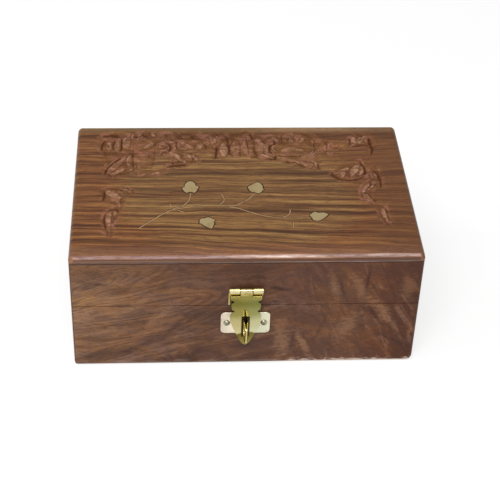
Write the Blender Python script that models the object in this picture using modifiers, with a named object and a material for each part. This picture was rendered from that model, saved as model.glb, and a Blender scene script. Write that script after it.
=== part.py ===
"""A small rosewood box with a hinged lid, brass inlay, a brass hasp and staple, and a velvet lining.

Metres, +Z up. The origin is the centre of the underside. X runs along the width, and the front,
which carries the hasp, faces -Y. The box is shown closed, with the hasp over its staple.
"""

import math

import bmesh
import bpy
from mathutils import Matrix, Vector

MM = 0.001

# Case
WIDTH = 152 * MM
DEPTH = 100 * MM
HEIGHT = 61.5 * MM
WALL = 8 * MM
PARTING_Z = 34.45 * MM
PARTING_GAP = 0.3 * MM
GLUE_GAP = 0.15 * MM
BOTTOM_THICK = 5 * MM
PANEL_LIP = 3.5 * MM
PANEL_PLUG = 3.5 * MM
TOP_ROUND = 2.2 * MM
CORNER_ROUND = 1.5 * MM
BOTTOM_ROUND = 1.2 * MM
WORN_FOOT_ROUND = 3.6 * MM

# Lining
LINING = 0.8 * MM
PAD = 3 * MM
LINING_GAP = 0.3 * MM
LINING_SETBACK = 0.8 * MM

# Lid hinges
LID_AXIS_Y = 47.5 * MM
STOP_ANGLE = math.radians(50)
STOP_CLEARANCE = 0.15 * MM
HINGE_X = 44 * MM
HINGE_LENGTH = 20 * MM
HINGE_SHEET = 1 * MM
HINGE_BARREL = 1.5 * MM
HINGE_PIN = 0.6 * MM
HINGE_LEAF_DEPTH = 2.7 * MM
HINGE_KNUCKLE = 7.4 * MM
HINGE_SCREW_X = 6.5 * MM

# Hasp
HASP_X = -0.3 * MM
HASP_AXIS_Y = -51.6 * MM
HASP_AXIS_Z = 43.8 * MM
HASP_BARREL = 1.4 * MM
HASP_PIN = 0.6 * MM
HASP_SHEET = 0.6 * MM
HASP_FACE_Y = -52.4 * MM
HASP_HALF = 7.2 * MM
HASP_KNUCKLE_HALF = 2.65 * MM
FIXED_LEAF_LEFT = 7.6 * MM
FIXED_LEAF_RIGHT = 6.4 * MM
FIXED_TAB_Y = -51.4 * MM
FIXED_TAB_FOOT_Z = 41 * MM
FIXED_LEAF_FOOT_Z = 35.2 * MM
FIXED_LEAF_SCREW_X = 4 * MM
SLOT_HALF = 1.8 * MM
SLOT_TOP_Z = 30 * MM
SLOT_BOTTOM_Z = 18.2 * MM
SLOT_CORNER = 0.5 * MM

# Staple: a strip folded to a hairpin, and the plate it stands on
LOOP_Z = 23.8 * MM
LOOP_HEIGHT = 8.8 * MM
LOOP_OUT = 9.4 * MM
LOOP_TAIL = 4.5 * MM
LOOP_SHEET = 0.5 * MM
LOOP_LEG_X = 1.05 * MM
LOOP_NOSE_X = 0.35 * MM
LOOP_NECK_Y = -51.5 * MM
LOOP_CORNER = 2.4 * MM
LOOP_EYE = 1.6 * MM
LOOP_EYE_OUT = 6 * MM
PLATE_Z = 24.9 * MM
PLATE_HALF_WIDTH = 10.85 * MM
PLATE_HALF_HEIGHT = 5.9 * MM
PLATE_CORNER = 1.8 * MM
PLATE_SHEET = 0.8 * MM
PLATE_SCREW_X = 8.15 * MM

# Screws
FLAT_HEAD = 1.1 * MM
FLAT_HEAD_DEPTH = 0.6 * MM
FLAT_SHANK = 0.5 * MM
FLAT_LENGTH = 4 * MM
ROUND_HEAD = 1.5 * MM
ROUND_HEAD_RISE = 0.8 * MM
ROUND_SHANK = 0.7 * MM
ROUND_LENGTH = 5.5 * MM
DRIVER_SLOT = 0.4 * MM
DRIVER_DEPTH = 0.35 * MM

# Fits
SEAT_GAP = 0.1 * MM
RUN_GAP = 0.3 * MM
PIN_CLEARANCE = 0.08 * MM

# Inlay
INLAY_DEPTH = 1.2 * MM
INLAY_GAP = 0.1 * MM
STEM_THICK = 0.45 * MM
STEM_STEPS = 3

# Sides of a round bar or a turned piece
ROUND_SIDES = 16

COLOURS = {
    "rosewood": ((0.21, 0.115, 0.06, 1), 0.42, 0.0),
    "brass": ((0.72, 0.62, 0.36, 1), 0.28, 1.0),
    "velvet": ((0.23, 0.012, 0.03, 1), 0.95, 0.0),
}

HALF_W = WIDTH / 2
HALF_D = DEPTH / 2
BASE_TOP = PARTING_Z - PARTING_GAP / 2
LID_BOTTOM = PARTING_Z + PARTING_GAP / 2
PANEL_Z = HEIGHT - PANEL_LIP
LID_AXIS = Vector((0, LID_AXIS_Y, PARTING_Z))
HASP_AXIS = Vector((HASP_X, HASP_AXIS_Y, HASP_AXIS_Z))


# ---------------------------------------------------------------- scene helpers

def clear_scene():
    """Start from an empty scene."""
    for item in list(bpy.data.objects):
        bpy.data.objects.remove(item)


def new_collection(name):
    """A collection linked to the scene."""
    made = bpy.data.collections.new(name)
    bpy.context.scene.collection.children.link(made)
    return made


def new_material(name):
    """A Principled material from the colour table."""
    colour, roughness, metallic = COLOURS[name]
    made = bpy.data.materials.new(name)
    made.use_nodes = True
    shader = made.node_tree.nodes["Principled BSDF"]
    shader.inputs["Base Color"].default_value = colour
    shader.inputs["Roughness"].default_value = roughness
    shader.inputs["Metallic"].default_value = metallic
    return made


def new_axis(name, location, parent=None):
    """An empty that the pieces of one moving body hang from."""
    made = bpy.data.objects.new(name, None)
    PARTS.objects.link(made)
    made.parent = parent
    made.location = Vector(location) - (parent.matrix_world.translation if parent else Vector())
    bpy.context.view_layer.update()
    return made


def finish_piece(piece, body, material):
    """Hang a piece from its body's empty and give it its material."""
    piece.location -= body.matrix_world.translation
    piece.parent = body
    piece.data.materials.clear()
    piece.data.materials.append(MATERIALS[material])
    return piece


def mesh_object(name, shape, location=(0, 0, 0)):
    """An object in the parts collection from a bmesh, which is freed."""
    mesh = bpy.data.meshes.new(name)
    bmesh.ops.recalc_face_normals(shape, faces=shape.faces)
    shape.to_mesh(mesh)
    shape.free()
    made = bpy.data.objects.new(name, mesh)
    made.location = location
    PARTS.objects.link(made)
    return made


def as_cutter(piece):
    """Turn a piece into a guide that only Booleans use."""
    piece.name = "cutter_" + piece.name
    piece.hide_render = True
    piece.display_type = "WIRE"
    PARTS.objects.unlink(piece)
    CUTTERS.objects.link(piece)
    return piece


def boolean(piece, other, operation):
    """Add one exact Boolean to a piece."""
    step = piece.modifiers.new(operation.lower(), "BOOLEAN")
    step.operation = operation
    step.object = other
    return piece


def cut(piece, *cutters):
    """Remove each cutter's volume from a piece."""
    for cutter in cutters:
        boolean(piece, cutter, "DIFFERENCE")
    return piece


def join(piece, *others):
    """Unite other shapes with a piece; the others stay behind as guides."""
    for other in others:
        boolean(piece, as_cutter(other), "UNION")
    return piece


# ---------------------------------------------------------------- basic shapes

def box(name, low, high):
    """A cuboid between two corners."""
    low, high = Vector(low), Vector(high)
    shape = bmesh.new()
    bmesh.ops.create_cube(shape, size=1)
    bmesh.ops.scale(shape, vec=high - low, verts=shape.verts)
    return mesh_object(name, shape, (low + high) / 2)


def rod(name, centre, radius, length, turn=None):
    """A round bar about its own Z, then turned; with no turn given it lies along X."""
    shape = bmesh.new()
    bmesh.ops.create_cone(
        shape, cap_ends=True, segments=ROUND_SIDES, radius1=radius, radius2=radius, depth=length)
    turn = turn or Matrix.Rotation(math.pi / 2, 3, "Y")
    bmesh.ops.rotate(shape, matrix=turn, verts=shape.verts)
    made = mesh_object(name, shape, centre)
    made.data.shade_smooth()
    made.data.set_sharp_from_angle(angle=math.radians(40))
    return made


def flat_piece(name, outline, thickness, centre, upright=False):
    """A sheet cut to an outline of (x, y) points, lying flat or, if upright, standing in the XZ plane."""
    curve = bpy.data.curves.new(name, "CURVE")
    curve.dimensions = "2D"
    curve.fill_mode = "BOTH"
    curve.extrude = thickness / 2
    spline = curve.splines.new("POLY")
    spline.points.add(len(outline) - 1)
    for point, (x, y) in zip(spline.points, outline):
        point.co = (x, y, 0, 1)
    spline.use_cyclic_u = True
    drawn = bpy.data.objects.new(name + "_outline", curve)
    PARTS.objects.link(drawn)
    evaluated = drawn.evaluated_get(bpy.context.evaluated_depsgraph_get())
    flat = bpy.data.meshes.new_from_object(evaluated)
    shape = bmesh.new()
    shape.from_mesh(flat)
    bmesh.ops.remove_doubles(shape, verts=shape.verts, dist=0.001 * MM)
    if upright:
        bmesh.ops.rotate(shape, matrix=Matrix.Rotation(math.pi / 2, 3, "X"), verts=shape.verts)
    bpy.data.objects.remove(drawn)
    bpy.data.meshes.remove(flat)
    return mesh_object(name, shape, centre)


def ribbon(name, path, height, thickness, centre):
    """A strip standing on edge along a path of (x, y) points, thickened equally to both sides."""
    shape = bmesh.new()
    low = [shape.verts.new((x, y, -height / 2)) for x, y in path]
    edges = [shape.edges.new(pair) for pair in zip(low, low[1:])]
    grown = bmesh.ops.extrude_edge_only(shape, edges=edges)["geom"]
    top = [item for item in grown if isinstance(item, bmesh.types.BMVert)]
    bmesh.ops.translate(shape, vec=(0, 0, height), verts=top)
    made = mesh_object(name, shape, centre)
    thicken = made.modifiers.new("thickness", "SOLIDIFY")
    thicken.thickness = thickness
    thicken.offset = 0
    thicken.use_even_offset = True
    return made


def turned(name, profile, centre, turn=None):
    """A turned piece from (radius, height) points that run down its outer side."""
    mesh = bpy.data.meshes.new(name)
    points = [(radius, 0, height) for radius, height in profile]
    mesh.from_pydata(points, [(i, i + 1) for i in range(len(points) - 1)], [])
    if turn:
        mesh.transform(turn.to_4x4())
    made = bpy.data.objects.new(name, mesh)
    made.location = centre
    PARTS.objects.link(made)
    lathe = made.modifiers.new("lathe", "SCREW")
    lathe.steps = ROUND_SIDES
    lathe.render_steps = ROUND_SIDES
    lathe.use_merge_vertices = True
    lathe.merge_threshold = 0.001 * MM
    return made


def rounded_rectangle(half_x, half_y, radius, steps=4):
    """Outline points of a rectangle with round corners, anticlockwise."""
    points = []
    for quarter, (sx, sy) in enumerate(((1, 1), (-1, 1), (-1, -1), (1, -1))):
        cx, cy = sx * (half_x - radius), sy * (half_y - radius)
        for step in range(steps + 1):
            angle = (quarter + step / steps) * math.pi / 2
            points.append((cx + radius * math.cos(angle), cy + radius * math.sin(angle)))
    return points


def smooth_path(points, steps):
    """A Catmull-Rom curve through the points, with this many steps between neighbours."""
    knots = [Vector(p) for p in points]
    knots = [2 * knots[0] - knots[1], *knots, 2 * knots[-1] - knots[-2]]
    path = []
    for a, b, c, d in zip(knots, knots[1:], knots[2:], knots[3:]):
        for step in range(steps):
            t = step / steps
            path.append(0.5 * (2 * b + (c - a) * t + (2 * a - 5 * b + 4 * c - d) * t ** 2
                               + (3 * b - a - 3 * c + d) * t ** 3))
    path.append(knots[-2])
    return path


# Turns a flat piece, whose outline lies in XY, so that the outline stands in the YZ plane
SIDE_ON = Matrix(((0, 0, 1, 0), (1, 0, 0, 0), (0, 1, 0, 0), (0, 0, 0, 1)))


# ---------------------------------------------------------------- wooden case

def make_outer_form():
    """The rounded outside of the closed box, used to trim every board."""
    form = box("outer_form", (-HALF_W, -HALF_D, 0), (HALF_W, HALF_D, HEIGHT))
    shape = bmesh.new()
    shape.from_mesh(form.data)
    weights = shape.edges.layers.float.new("bevel_weight_edge")
    for edge in shape.edges:
        high = [vert.co.z > 0 for vert in edge.verts]
        if all(high):
            radius = TOP_ROUND
        elif any(high):
            radius = CORNER_ROUND
        elif all(vert.co.x > 0 for vert in edge.verts):
            radius = WORN_FOOT_ROUND
        else:
            radius = BOTTOM_ROUND
        edge[weights] = radius / WORN_FOOT_ROUND
    shape.to_mesh(form.data)
    shape.free()
    rounding = form.modifiers.new("rounding", "BEVEL")
    rounding.limit_method = "WEIGHT"
    rounding.width = WORN_FOOT_ROUND
    rounding.segments = 3
    return as_cutter(form)


def make_walls(prefix, body, low_z, high_z, outer_form):
    """Four butt-jointed boards; the front and back ones run the full width."""
    inner = HALF_D - WALL - GLUE_GAP
    walls = {
        "front": box(prefix + "_front_board", (-HALF_W, -HALF_D, low_z), (HALF_W, WALL - HALF_D, high_z)),
        "back": box(prefix + "_back_board", (-HALF_W, HALF_D - WALL, low_z), (HALF_W, HALF_D, high_z)),
        "left": box(prefix + "_left_board", (-HALF_W, -inner, low_z), (WALL - HALF_W, inner, high_z)),
        "right": box(prefix + "_right_board", (HALF_W - WALL, -inner, low_z), (HALF_W, inner, high_z)),
    }
    for board in walls.values():
        boolean(board, outer_form, "INTERSECT")
        finish_piece(board, body, "rosewood")
    return walls


def make_stop_groove():
    """The V cut along the back of both rear boards; its faces meet when the lid is fully open."""
    depth = HALF_D - LID_AXIS_Y + STOP_CLEARANCE / math.sin(STOP_ANGLE) + 1 * MM
    rise = depth * math.tan(STOP_ANGLE)
    outline = [(-depth, 0), (0, -rise), (0, rise)]
    groove = flat_piece("stop_groove", outline, WIDTH + 4 * MM, (0, HALF_D + 1 * MM, PARTING_Z))
    groove.data.transform(SIDE_ON)
    return as_cutter(groove)


def inside_form(name, low_z, high_z, gap):
    """The room between the walls, less a gap all round."""
    half_x, half_y = HALF_W - WALL - gap, HALF_D - WALL - gap
    return box(name, (-half_x, -half_y, low_z), (half_x, half_y, high_z))


def make_base_wood(body, outer_form):
    """The lower tray of the case."""
    walls = make_walls("base", body, 0, BASE_TOP, outer_form)
    bottom = inside_form("base_bottom_board", 0, BOTTOM_THICK, GLUE_GAP)
    finish_piece(bottom, body, "rosewood")
    return walls


def make_lid_wood(body, outer_form):
    """The lid's frame, and its top panel with a plug that fits inside the frame."""
    walls = make_walls("lid", body, LID_BOTTOM, PANEL_Z - GLUE_GAP, outer_form)
    panel = box("lid_top_panel", (-HALF_W, -HALF_D, PANEL_Z), (HALF_W, HALF_D, HEIGHT))
    join(panel, inside_form("panel_plug", PANEL_Z - PANEL_PLUG, PANEL_Z + PANEL_LIP / 2, GLUE_GAP))
    boolean(panel, outer_form, "INTERSECT")
    finish_piece(panel, body, "rosewood")
    return walls, panel


# ---------------------------------------------------------------- lining

def make_wall_lining(name, body, low_z, high_z):
    """Velvet glued round the inside of the walls: an open tube, thickened inwards."""
    sleeve = inside_form(name, low_z, high_z, LINING_GAP)
    shape = bmesh.new()
    shape.from_mesh(sleeve.data)
    ends = [face for face in shape.faces if abs(face.normal.z) > 0.5]
    bmesh.ops.delete(shape, geom=ends, context="FACES")
    shape.to_mesh(sleeve.data)
    shape.free()
    thicken = sleeve.modifiers.new("thickness", "SOLIDIFY")
    thicken.thickness = LINING
    thicken.offset = -1
    thicken.use_even_offset = True
    finish_piece(sleeve, body, "velvet")


def make_pad(name, body, low_z, high_z):
    """A card-backed velvet pad with soft edges, inside the wall lining."""
    pad = inside_form(name, low_z, high_z, 2 * LINING_GAP + LINING)
    soften = pad.modifiers.new("soft_edge", "BEVEL")
    soften.width = 0.8 * MM
    soften.segments = 2
    finish_piece(pad, body, "velvet")


def make_linings(base, lid):
    """All four velvet pieces."""
    floor = BOTTOM_THICK + LINING_GAP
    ceiling = PANEL_Z - PANEL_PLUG - LINING_GAP
    make_wall_lining("base_wall_lining", base, floor, BASE_TOP - LINING_SETBACK)
    make_pad("base_floor_pad", base, floor, floor + PAD)
    make_wall_lining("lid_wall_lining", lid, LID_BOTTOM + LINING_SETBACK, ceiling)
    make_pad("lid_top_pad", lid, ceiling - PAD, ceiling)


# ---------------------------------------------------------------- screws

FACING_UP = Matrix.Identity(3)
FACING_DOWN = Matrix.Rotation(math.pi, 3, "X")
FACING_FRONT = Matrix.Rotation(math.pi / 2, 3, "X")


def countersunk_profile(grow=0.0, lift=0.0):
    """A flat-headed screw's side, from the head's face down to the point; lift raises the head."""
    head, shank = FLAT_HEAD + grow, FLAT_SHANK + grow
    point = FLAT_LENGTH + FLAT_SHANK + 3 * grow
    return [(0, lift), (head, lift), (head, 0), (shank, -FLAT_HEAD_DEPTH - grow),
            (shank, -FLAT_LENGTH), (0, -point)]


def round_head_profile():
    """A round-headed screw's side, whose seat is at height 0."""
    angles = (step * math.pi / 8 for step in range(5))
    dome = [(ROUND_HEAD * math.sin(a), ROUND_HEAD_RISE * math.cos(a)) for a in angles]
    return [*dome, (ROUND_SHANK, 0), (ROUND_SHANK, -ROUND_LENGTH), (0, -ROUND_LENGTH - ROUND_SHANK)]


def slot_cutter(name, centre, turn, angle, floor):
    """The driver's slot across a screw head, down to the floor's height."""
    half = DRIVER_SLOT / 2
    slot = box(name + "_slot", (-2 * ROUND_HEAD, -half, floor), (2 * ROUND_HEAD, half, 2 * ROUND_HEAD))
    slot.data.transform(Matrix.Translation((0, 0, slot.location.z)))
    slot.data.transform((turn @ Matrix.Rotation(angle, 3, "Z")).to_4x4())
    slot.location = centre
    return as_cutter(slot)


def oriented(piece, turn):
    """Turn a lathe piece, whose modifier works about its own Z, with the object's rotation."""
    piece.rotation_euler = turn.to_euler()
    return piece


def make_flat_screw(name, body, face, turn, angle):
    """A countersunk screw, and the guide that cuts its hole in leaf and wood."""
    hole = oriented(turned(name + "_hole", countersunk_profile(SEAT_GAP, RUN_GAP), face), turn)
    as_cutter(hole)
    screw = oriented(turned(name, countersunk_profile(), face), turn)
    cut(screw, slot_cutter(name, face, turn, angle, -DRIVER_DEPTH))
    finish_piece(screw, body, "brass")
    return hole


def make_round_screw(name, body, seat, angle):
    """A round-headed screw driven in from the front, and the guide for its hole."""
    centre = Vector(seat)
    hole = rod(name + "_hole", centre, ROUND_SHANK + SEAT_GAP, 2.5 * ROUND_LENGTH, FACING_FRONT)
    as_cutter(hole)
    screw = oriented(turned(name, round_head_profile(), centre), FACING_FRONT)
    cut(screw, slot_cutter(name, centre, FACING_FRONT, angle, DRIVER_DEPTH))
    finish_piece(screw, body, "brass")
    return hole


# ---------------------------------------------------------------- lid hinges

def make_hinge_leaf(name, x, side, zones):
    """One leaf let into a board; side is -1 for the base and 1 for the lid, zones its knuckles in X."""
    face = PARTING_Z + side * PARTING_GAP / 2
    back = face + side * HINGE_SHEET
    rear = LID_AXIS_Y - HINGE_BARREL - RUN_GAP
    low, high = min(face, back), max(face, back)
    half = HINGE_LENGTH / 2
    leaf = box(name, (x - half, rear - HINGE_LEAF_DEPTH, low), (x + half, rear, high))
    for number, (start, end) in enumerate(zones):
        centre = (x + (start + end) / 2, LID_AXIS_Y, PARTING_Z)
        tab = box(f"{name}_tab_{number}", (x + start, rear - HINGE_SHEET / 2, low),
                  (x + end, LID_AXIS_Y, high))
        join(leaf, tab, rod(f"{name}_knuckle_{number}", centre, HINGE_BARREL, end - start))
    return leaf


def hinge_mortise(name, x, side):
    """The room that one leaf needs in its board."""
    face = PARTING_Z + side * PARTING_GAP / 2
    deep = face + side * (HINGE_SHEET + GLUE_GAP)
    half = HINGE_LENGTH / 2 + RUN_GAP
    front = LID_AXIS_Y - HINGE_BARREL - RUN_GAP - HINGE_LEAF_DEPTH - GLUE_GAP
    open_face = face - side * PARTING_GAP / 2
    low, high = min(open_face, deep), max(open_face, deep)
    return as_cutter(box(name, (x - half, front, low), (x + half, LID_AXIS_Y, high)))


def make_lid_hinge(label, x, base, lid, base_board, lid_board):
    """One butt hinge: two leaves, a pin, and two screws in each leaf."""
    half, mid = HINGE_LENGTH / 2, HINGE_KNUCKLE / 2
    outer_zones = ((-half, -mid - RUN_GAP), (mid + RUN_GAP, half))
    prefix = f"hinge_{label}"
    centre = (x, LID_AXIS_Y, PARTING_Z)
    bore = as_cutter(rod(prefix + "_bore", centre, HINGE_PIN + PIN_CLEARANCE, HINGE_LENGTH + 4 * MM))
    barrel_room = as_cutter(
        rod(prefix + "_barrel_room", centre, HINGE_BARREL + RUN_GAP, HINGE_LENGTH + 4 * RUN_GAP))
    screw_y = LID_AXIS_Y - HINGE_BARREL - RUN_GAP - HINGE_LEAF_DEPTH / 2
    sides = (
        ("base", base, base_board, -1, outer_zones, FACING_UP),
        ("lid", lid, lid_board, 1, ((-mid, mid),), FACING_DOWN),
    )
    for part, body, board, side, zones, turn in sides:
        leaf = make_hinge_leaf(f"{prefix}_{part}_leaf", x, side, zones)
        cut(leaf, bore)
        cut(board, hinge_mortise(f"{prefix}_{part}_mortise", x, side), barrel_room)
        face_z = PARTING_Z + side * PARTING_GAP / 2
        for number, offset in enumerate((-HINGE_SCREW_X, HINGE_SCREW_X), start=1):
            name = f"{prefix}_{part}_screw_{number}"
            hole = make_flat_screw(name, body, (x + offset, screw_y, face_z), turn, number * 0.9)
            cut(leaf, hole)
            cut(board, hole)
        finish_piece(leaf, body, "brass")
    pin = rod(prefix + "_pin", centre, HINGE_PIN, HINGE_LENGTH + RUN_GAP)
    finish_piece(pin, base, "brass")


# ---------------------------------------------------------------- staple

def make_staple_plate():
    """The rounded plate behind the staple."""
    outline = rounded_rectangle(PLATE_HALF_WIDTH, PLATE_HALF_HEIGHT, PLATE_CORNER)
    centre = (HASP_X, -HALF_D - SEAT_GAP - PLATE_SHEET / 2, PLATE_Z)
    return flat_piece("staple_plate", outline, PLATE_SHEET, centre, upright=True)


def make_staple_loop(tail_y):
    """The hairpin strip: two legs that close up towards a round nose, with an eye for a padlock."""
    nose_y = -HALF_D - LOOP_OUT + LOOP_NOSE_X
    angles = (step * math.pi / 6 for step in range(7))
    bend = [(LOOP_NOSE_X * math.cos(a), nose_y - LOOP_NOSE_X * math.sin(a)) for a in angles]
    right = [(LOOP_LEG_X, tail_y), (LOOP_LEG_X, LOOP_NECK_Y)]
    left = [(-x, y) for x, y in reversed(right)]
    loop = ribbon("staple_loop", [*right, *bend, *left], LOOP_HEIGHT, LOOP_SHEET, (HASP_X, 0, LOOP_Z))

    behind = 6 * MM
    length = tail_y + HALF_D + LOOP_OUT + LOOP_SHEET / 2 + behind
    outline = rounded_rectangle(length / 2, LOOP_HEIGHT / 2 + 0.01 * MM, LOOP_CORNER)
    middle = tail_y + behind - length / 2
    width = 2 * LOOP_LEG_X + 4 * LOOP_SHEET
    side_form = flat_piece("staple_side", outline, width, (HASP_X, middle, LOOP_Z))
    side_form.data.transform(SIDE_ON)
    boolean(loop, as_cutter(side_form), "INTERSECT")
    eye = rod("staple_eye", (HASP_X, -HALF_D - LOOP_EYE_OUT, LOOP_Z), LOOP_EYE, 6 * LOOP_LEG_X)
    cut(loop, as_cutter(eye))
    return loop


def make_staple(body, board):
    """The staple's loop, its plate with a hole for the legs, and two round-headed screws."""
    tail_y = -HALF_D + LOOP_TAIL
    finish_piece(make_staple_loop(tail_y), body, "brass")
    plate = make_staple_plate()
    room_x = LOOP_LEG_X + LOOP_SHEET / 2 + SEAT_GAP
    room_z = LOOP_HEIGHT / 2 + SEAT_GAP
    leg_room = box("staple_leg_room", (HASP_X - room_x, -HALF_D - 3 * MM, LOOP_Z - room_z),
                   (HASP_X + room_x, tail_y + RUN_GAP, LOOP_Z + room_z))
    as_cutter(leg_room)
    cut(plate, leg_room)
    cut(board, leg_room)
    seat_y = -HALF_D - PLATE_SHEET - 2 * SEAT_GAP
    for number, (offset, angle) in enumerate(((-PLATE_SCREW_X, 0.6), (PLATE_SCREW_X, 1.2)), start=1):
        name = f"staple_screw_{number}"
        hole = make_round_screw(name, body, (HASP_X + offset, seat_y, PLATE_Z), angle)
        cut(plate, hole)
        cut(board, hole)
    finish_piece(plate, body, "brass")


# ---------------------------------------------------------------- hasp

# The hasp's right edge from its shoulder to its tip: half width and height in millimetres.
HASP_EDGE = [(6.9, 41.2), (6.8, 39.3), (5.0, 38.3), (6.2, 37.4), (6.5, 35.9), (6.2, 34.0), (4.9, 32.9),
             (6.0, 31.9), (6.6, 30.1), (6.85, 27.2), (5.8, 23.9), (5.0, 21.8), (4.3, 20.2), (3.2, 17.7),
             (2.2, 15.6), (0.9, 14.0), (0.0, 13.6)]


def hasp_bore():
    """The pin's hole through the hasp's knuckles."""
    return as_cutter(rod("hasp_bore", HASP_AXIS, HASP_PIN + PIN_CLEARANCE, 2 * HASP_HALF + 4 * MM))


def make_hasp_leaf(body):
    """The swinging leaf: scalloped plate, centre knuckle, and the slot that drops over the staple."""
    edge = [(x * MM, z * MM - HASP_AXIS_Z) for x, z in HASP_EDGE]
    outline = [*edge, *((-x, z) for x, z in reversed(edge[:-1]))]
    plate_y = HASP_FACE_Y + HASP_SHEET / 2
    leaf = flat_piece("hasp_leaf", outline, HASP_SHEET, (HASP_X, plate_y, HASP_AXIS_Z), upright=True)
    half = HASP_KNUCKLE_HALF
    shoulder_z = HASP_AXIS_Z + edge[0][1]
    tab = box("hasp_leaf_tab", (HASP_X - half, HASP_FACE_Y, shoulder_z - HASP_SHEET),
              (HASP_X + half, HASP_FACE_Y + HASP_SHEET, HASP_AXIS_Z))
    join(leaf, tab, rod("hasp_leaf_knuckle", HASP_AXIS, HASP_BARREL, 2 * half))
    slot_middle = (SLOT_TOP_Z + SLOT_BOTTOM_Z) / 2
    slot_outline = rounded_rectangle(SLOT_HALF, (SLOT_TOP_Z - SLOT_BOTTOM_Z) / 2, SLOT_CORNER, 2)
    slot_centre = (HASP_X, plate_y, slot_middle)
    slot = flat_piece("hasp_slot", slot_outline, 3 * HASP_SHEET, slot_centre, upright=True)
    cut(leaf, as_cutter(slot), hasp_bore())
    finish_piece(leaf, body, "brass")


def make_hasp_fixed_leaf(body, board):
    """The leaf on the lid, mostly behind the closed hasp: two knuckles, a pin and two flat screws."""
    back_y = -HALF_D - SEAT_GAP
    front_y = back_y - HASP_SHEET
    top_z = HASP_AXIS_Z - HASP_BARREL - RUN_GAP
    leaf = box("hasp_fixed_leaf", (HASP_X - FIXED_LEAF_LEFT, front_y, FIXED_LEAF_FOOT_Z),
               (HASP_X + FIXED_LEAF_RIGHT, back_y, top_z))
    start, end = HASP_KNUCKLE_HALF + RUN_GAP, HASP_HALF
    for label, low, high in (("left", -end, -start), ("right", start, end)):
        tab = box(f"hasp_fixed_{label}_tab", (HASP_X + low, FIXED_TAB_Y, FIXED_TAB_FOOT_Z),
                  (HASP_X + high, back_y, HASP_AXIS_Z))
        centre = HASP_AXIS + Vector(((low + high) / 2, 0, 0))
        join(leaf, tab, rod(f"hasp_fixed_{label}_knuckle", centre, HASP_BARREL, high - low))
    cut(leaf, hasp_bore())
    screw_z = (FIXED_LEAF_FOOT_Z + top_z) / 2
    for number, offset in enumerate((-FIXED_LEAF_SCREW_X, FIXED_LEAF_SCREW_X), start=1):
        name = f"hasp_screw_{number}"
        hole = make_flat_screw(name, body, (HASP_X + offset, front_y, screw_z), FACING_FRONT, 0.7 * number)
        cut(leaf, hole)
        cut(board, hole)
    finish_piece(leaf, body, "brass")
    finish_piece(rod("hasp_pin", HASP_AXIS, HASP_PIN, 2 * HASP_HALF + RUN_GAP), body, "brass")


# ---------------------------------------------------------------- inlay

# Leaves: outline points in millimetres on the lid's top, seen from above.
INLAY_LEAVES = {
    "inlay_leaf_1": [(-23.7, 4.9), (-25, 4.1), (-26, 2.2), (-26.2, 0.4), (-27.3, -0.5), (-26.6, -2.6),
                     (-25.4, -4.2), (-24.4, -3.5), (-22.9, -3.4), (-22, -4.2), (-20.9, -2.9),
                     (-20.2, -0.8), (-19.8, 0.6), (-21.1, 1), (-21.5, 3), (-22.5, 4.4)],
    "inlay_leaf_2": [(6.9, 3.6), (4.9, 2.4), (3.6, 1.2), (2.3, 0.1), (2.9, -2.4), (3.9, -3.7),
                     (5.5, -4.1), (6.8, -5), (8.4, -3.8), (8.6, -2.8), (9.6, -1.9), (8.9, -1.1),
                     (9.1, 0.7), (8.4, 2.4), (7.6, 3.3)],
    "inlay_leaf_3": [(-16.3, -22.3), (-18, -23.2), (-19.2, -23.2), (-19.9, -24), (-20.1, -26.7),
                     (-19.1, -27), (-18.4, -28.2), (-16.2, -29.9), (-14.8, -30.5), (-14.3, -28.7),
                     (-13.7, -27), (-13.9, -25.5), (-13.1, -24.3), (-15.2, -22.8)],
    "inlay_leaf_4": [(31, -18.9), (29.7, -20), (28.5, -21.3), (29.4, -23.2), (29.9, -24.9),
                     (31.2, -25.5), (32.7, -25.2), (34.2, -24.1), (35.9, -22.2), (36.9, -20.8),
                     (34.9, -19.5), (32.5, -19.8)],
}

# Stems: points along each strip's middle, in the same millimetres.
INLAY_STEMS = {
    "inlay_main_stem": [(-46.5, -30), (-41, -24.5), (-35, -18.8), (-29.5, -16), (-20, -14), (-11, -13.7),
                        (-4.5, -14), (-1, -11.8), (2.5, -8.8), (4.9, -5.1)],
    "inlay_leaf_1_stem": [(-31.8, -16.2), (-29.2, -14.9), (-27, -13.4), (-25, -11), (-24, -8),
                          (-23.6, -4.5)],
    "inlay_leaf_4_stem": [(-6.7, -14.8), (-3, -15.7), (0, -17.5), (4, -19.5), (9, -21.8), (15, -23.1),
                          (21, -23.3), (28.8, -23.3)],
    "inlay_tendril_1": [(-9.8, -5), (-8.7, -8.5), (-9.2, -11.2), (-10.8, -12.9)],
    "inlay_tendril_2": [(20.2, -17), (20, -19.5), (18.7, -21.6), (16.9, -22.4)],
    "inlay_tendril_3": [(21, -26.2), (20.9, -28), (20.6, -29.8)],
    "inlay_tendril_4": [(-33, -12.4), (-32.2, -14), (-32.8, -15.6)],
    "inlay_tendril_5": [(-29.2, -17), (-28.2, -17.9), (-26.8, -18.4)],
}


def grown_outline(outline, margin):
    """The outline pushed out by about the margin, away from its middle."""
    middle = sum((Vector(p) for p in outline), Vector((0, 0))) / len(outline)
    return [Vector(p) + (Vector(p) - middle).normalized() * margin for p in outline]


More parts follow.
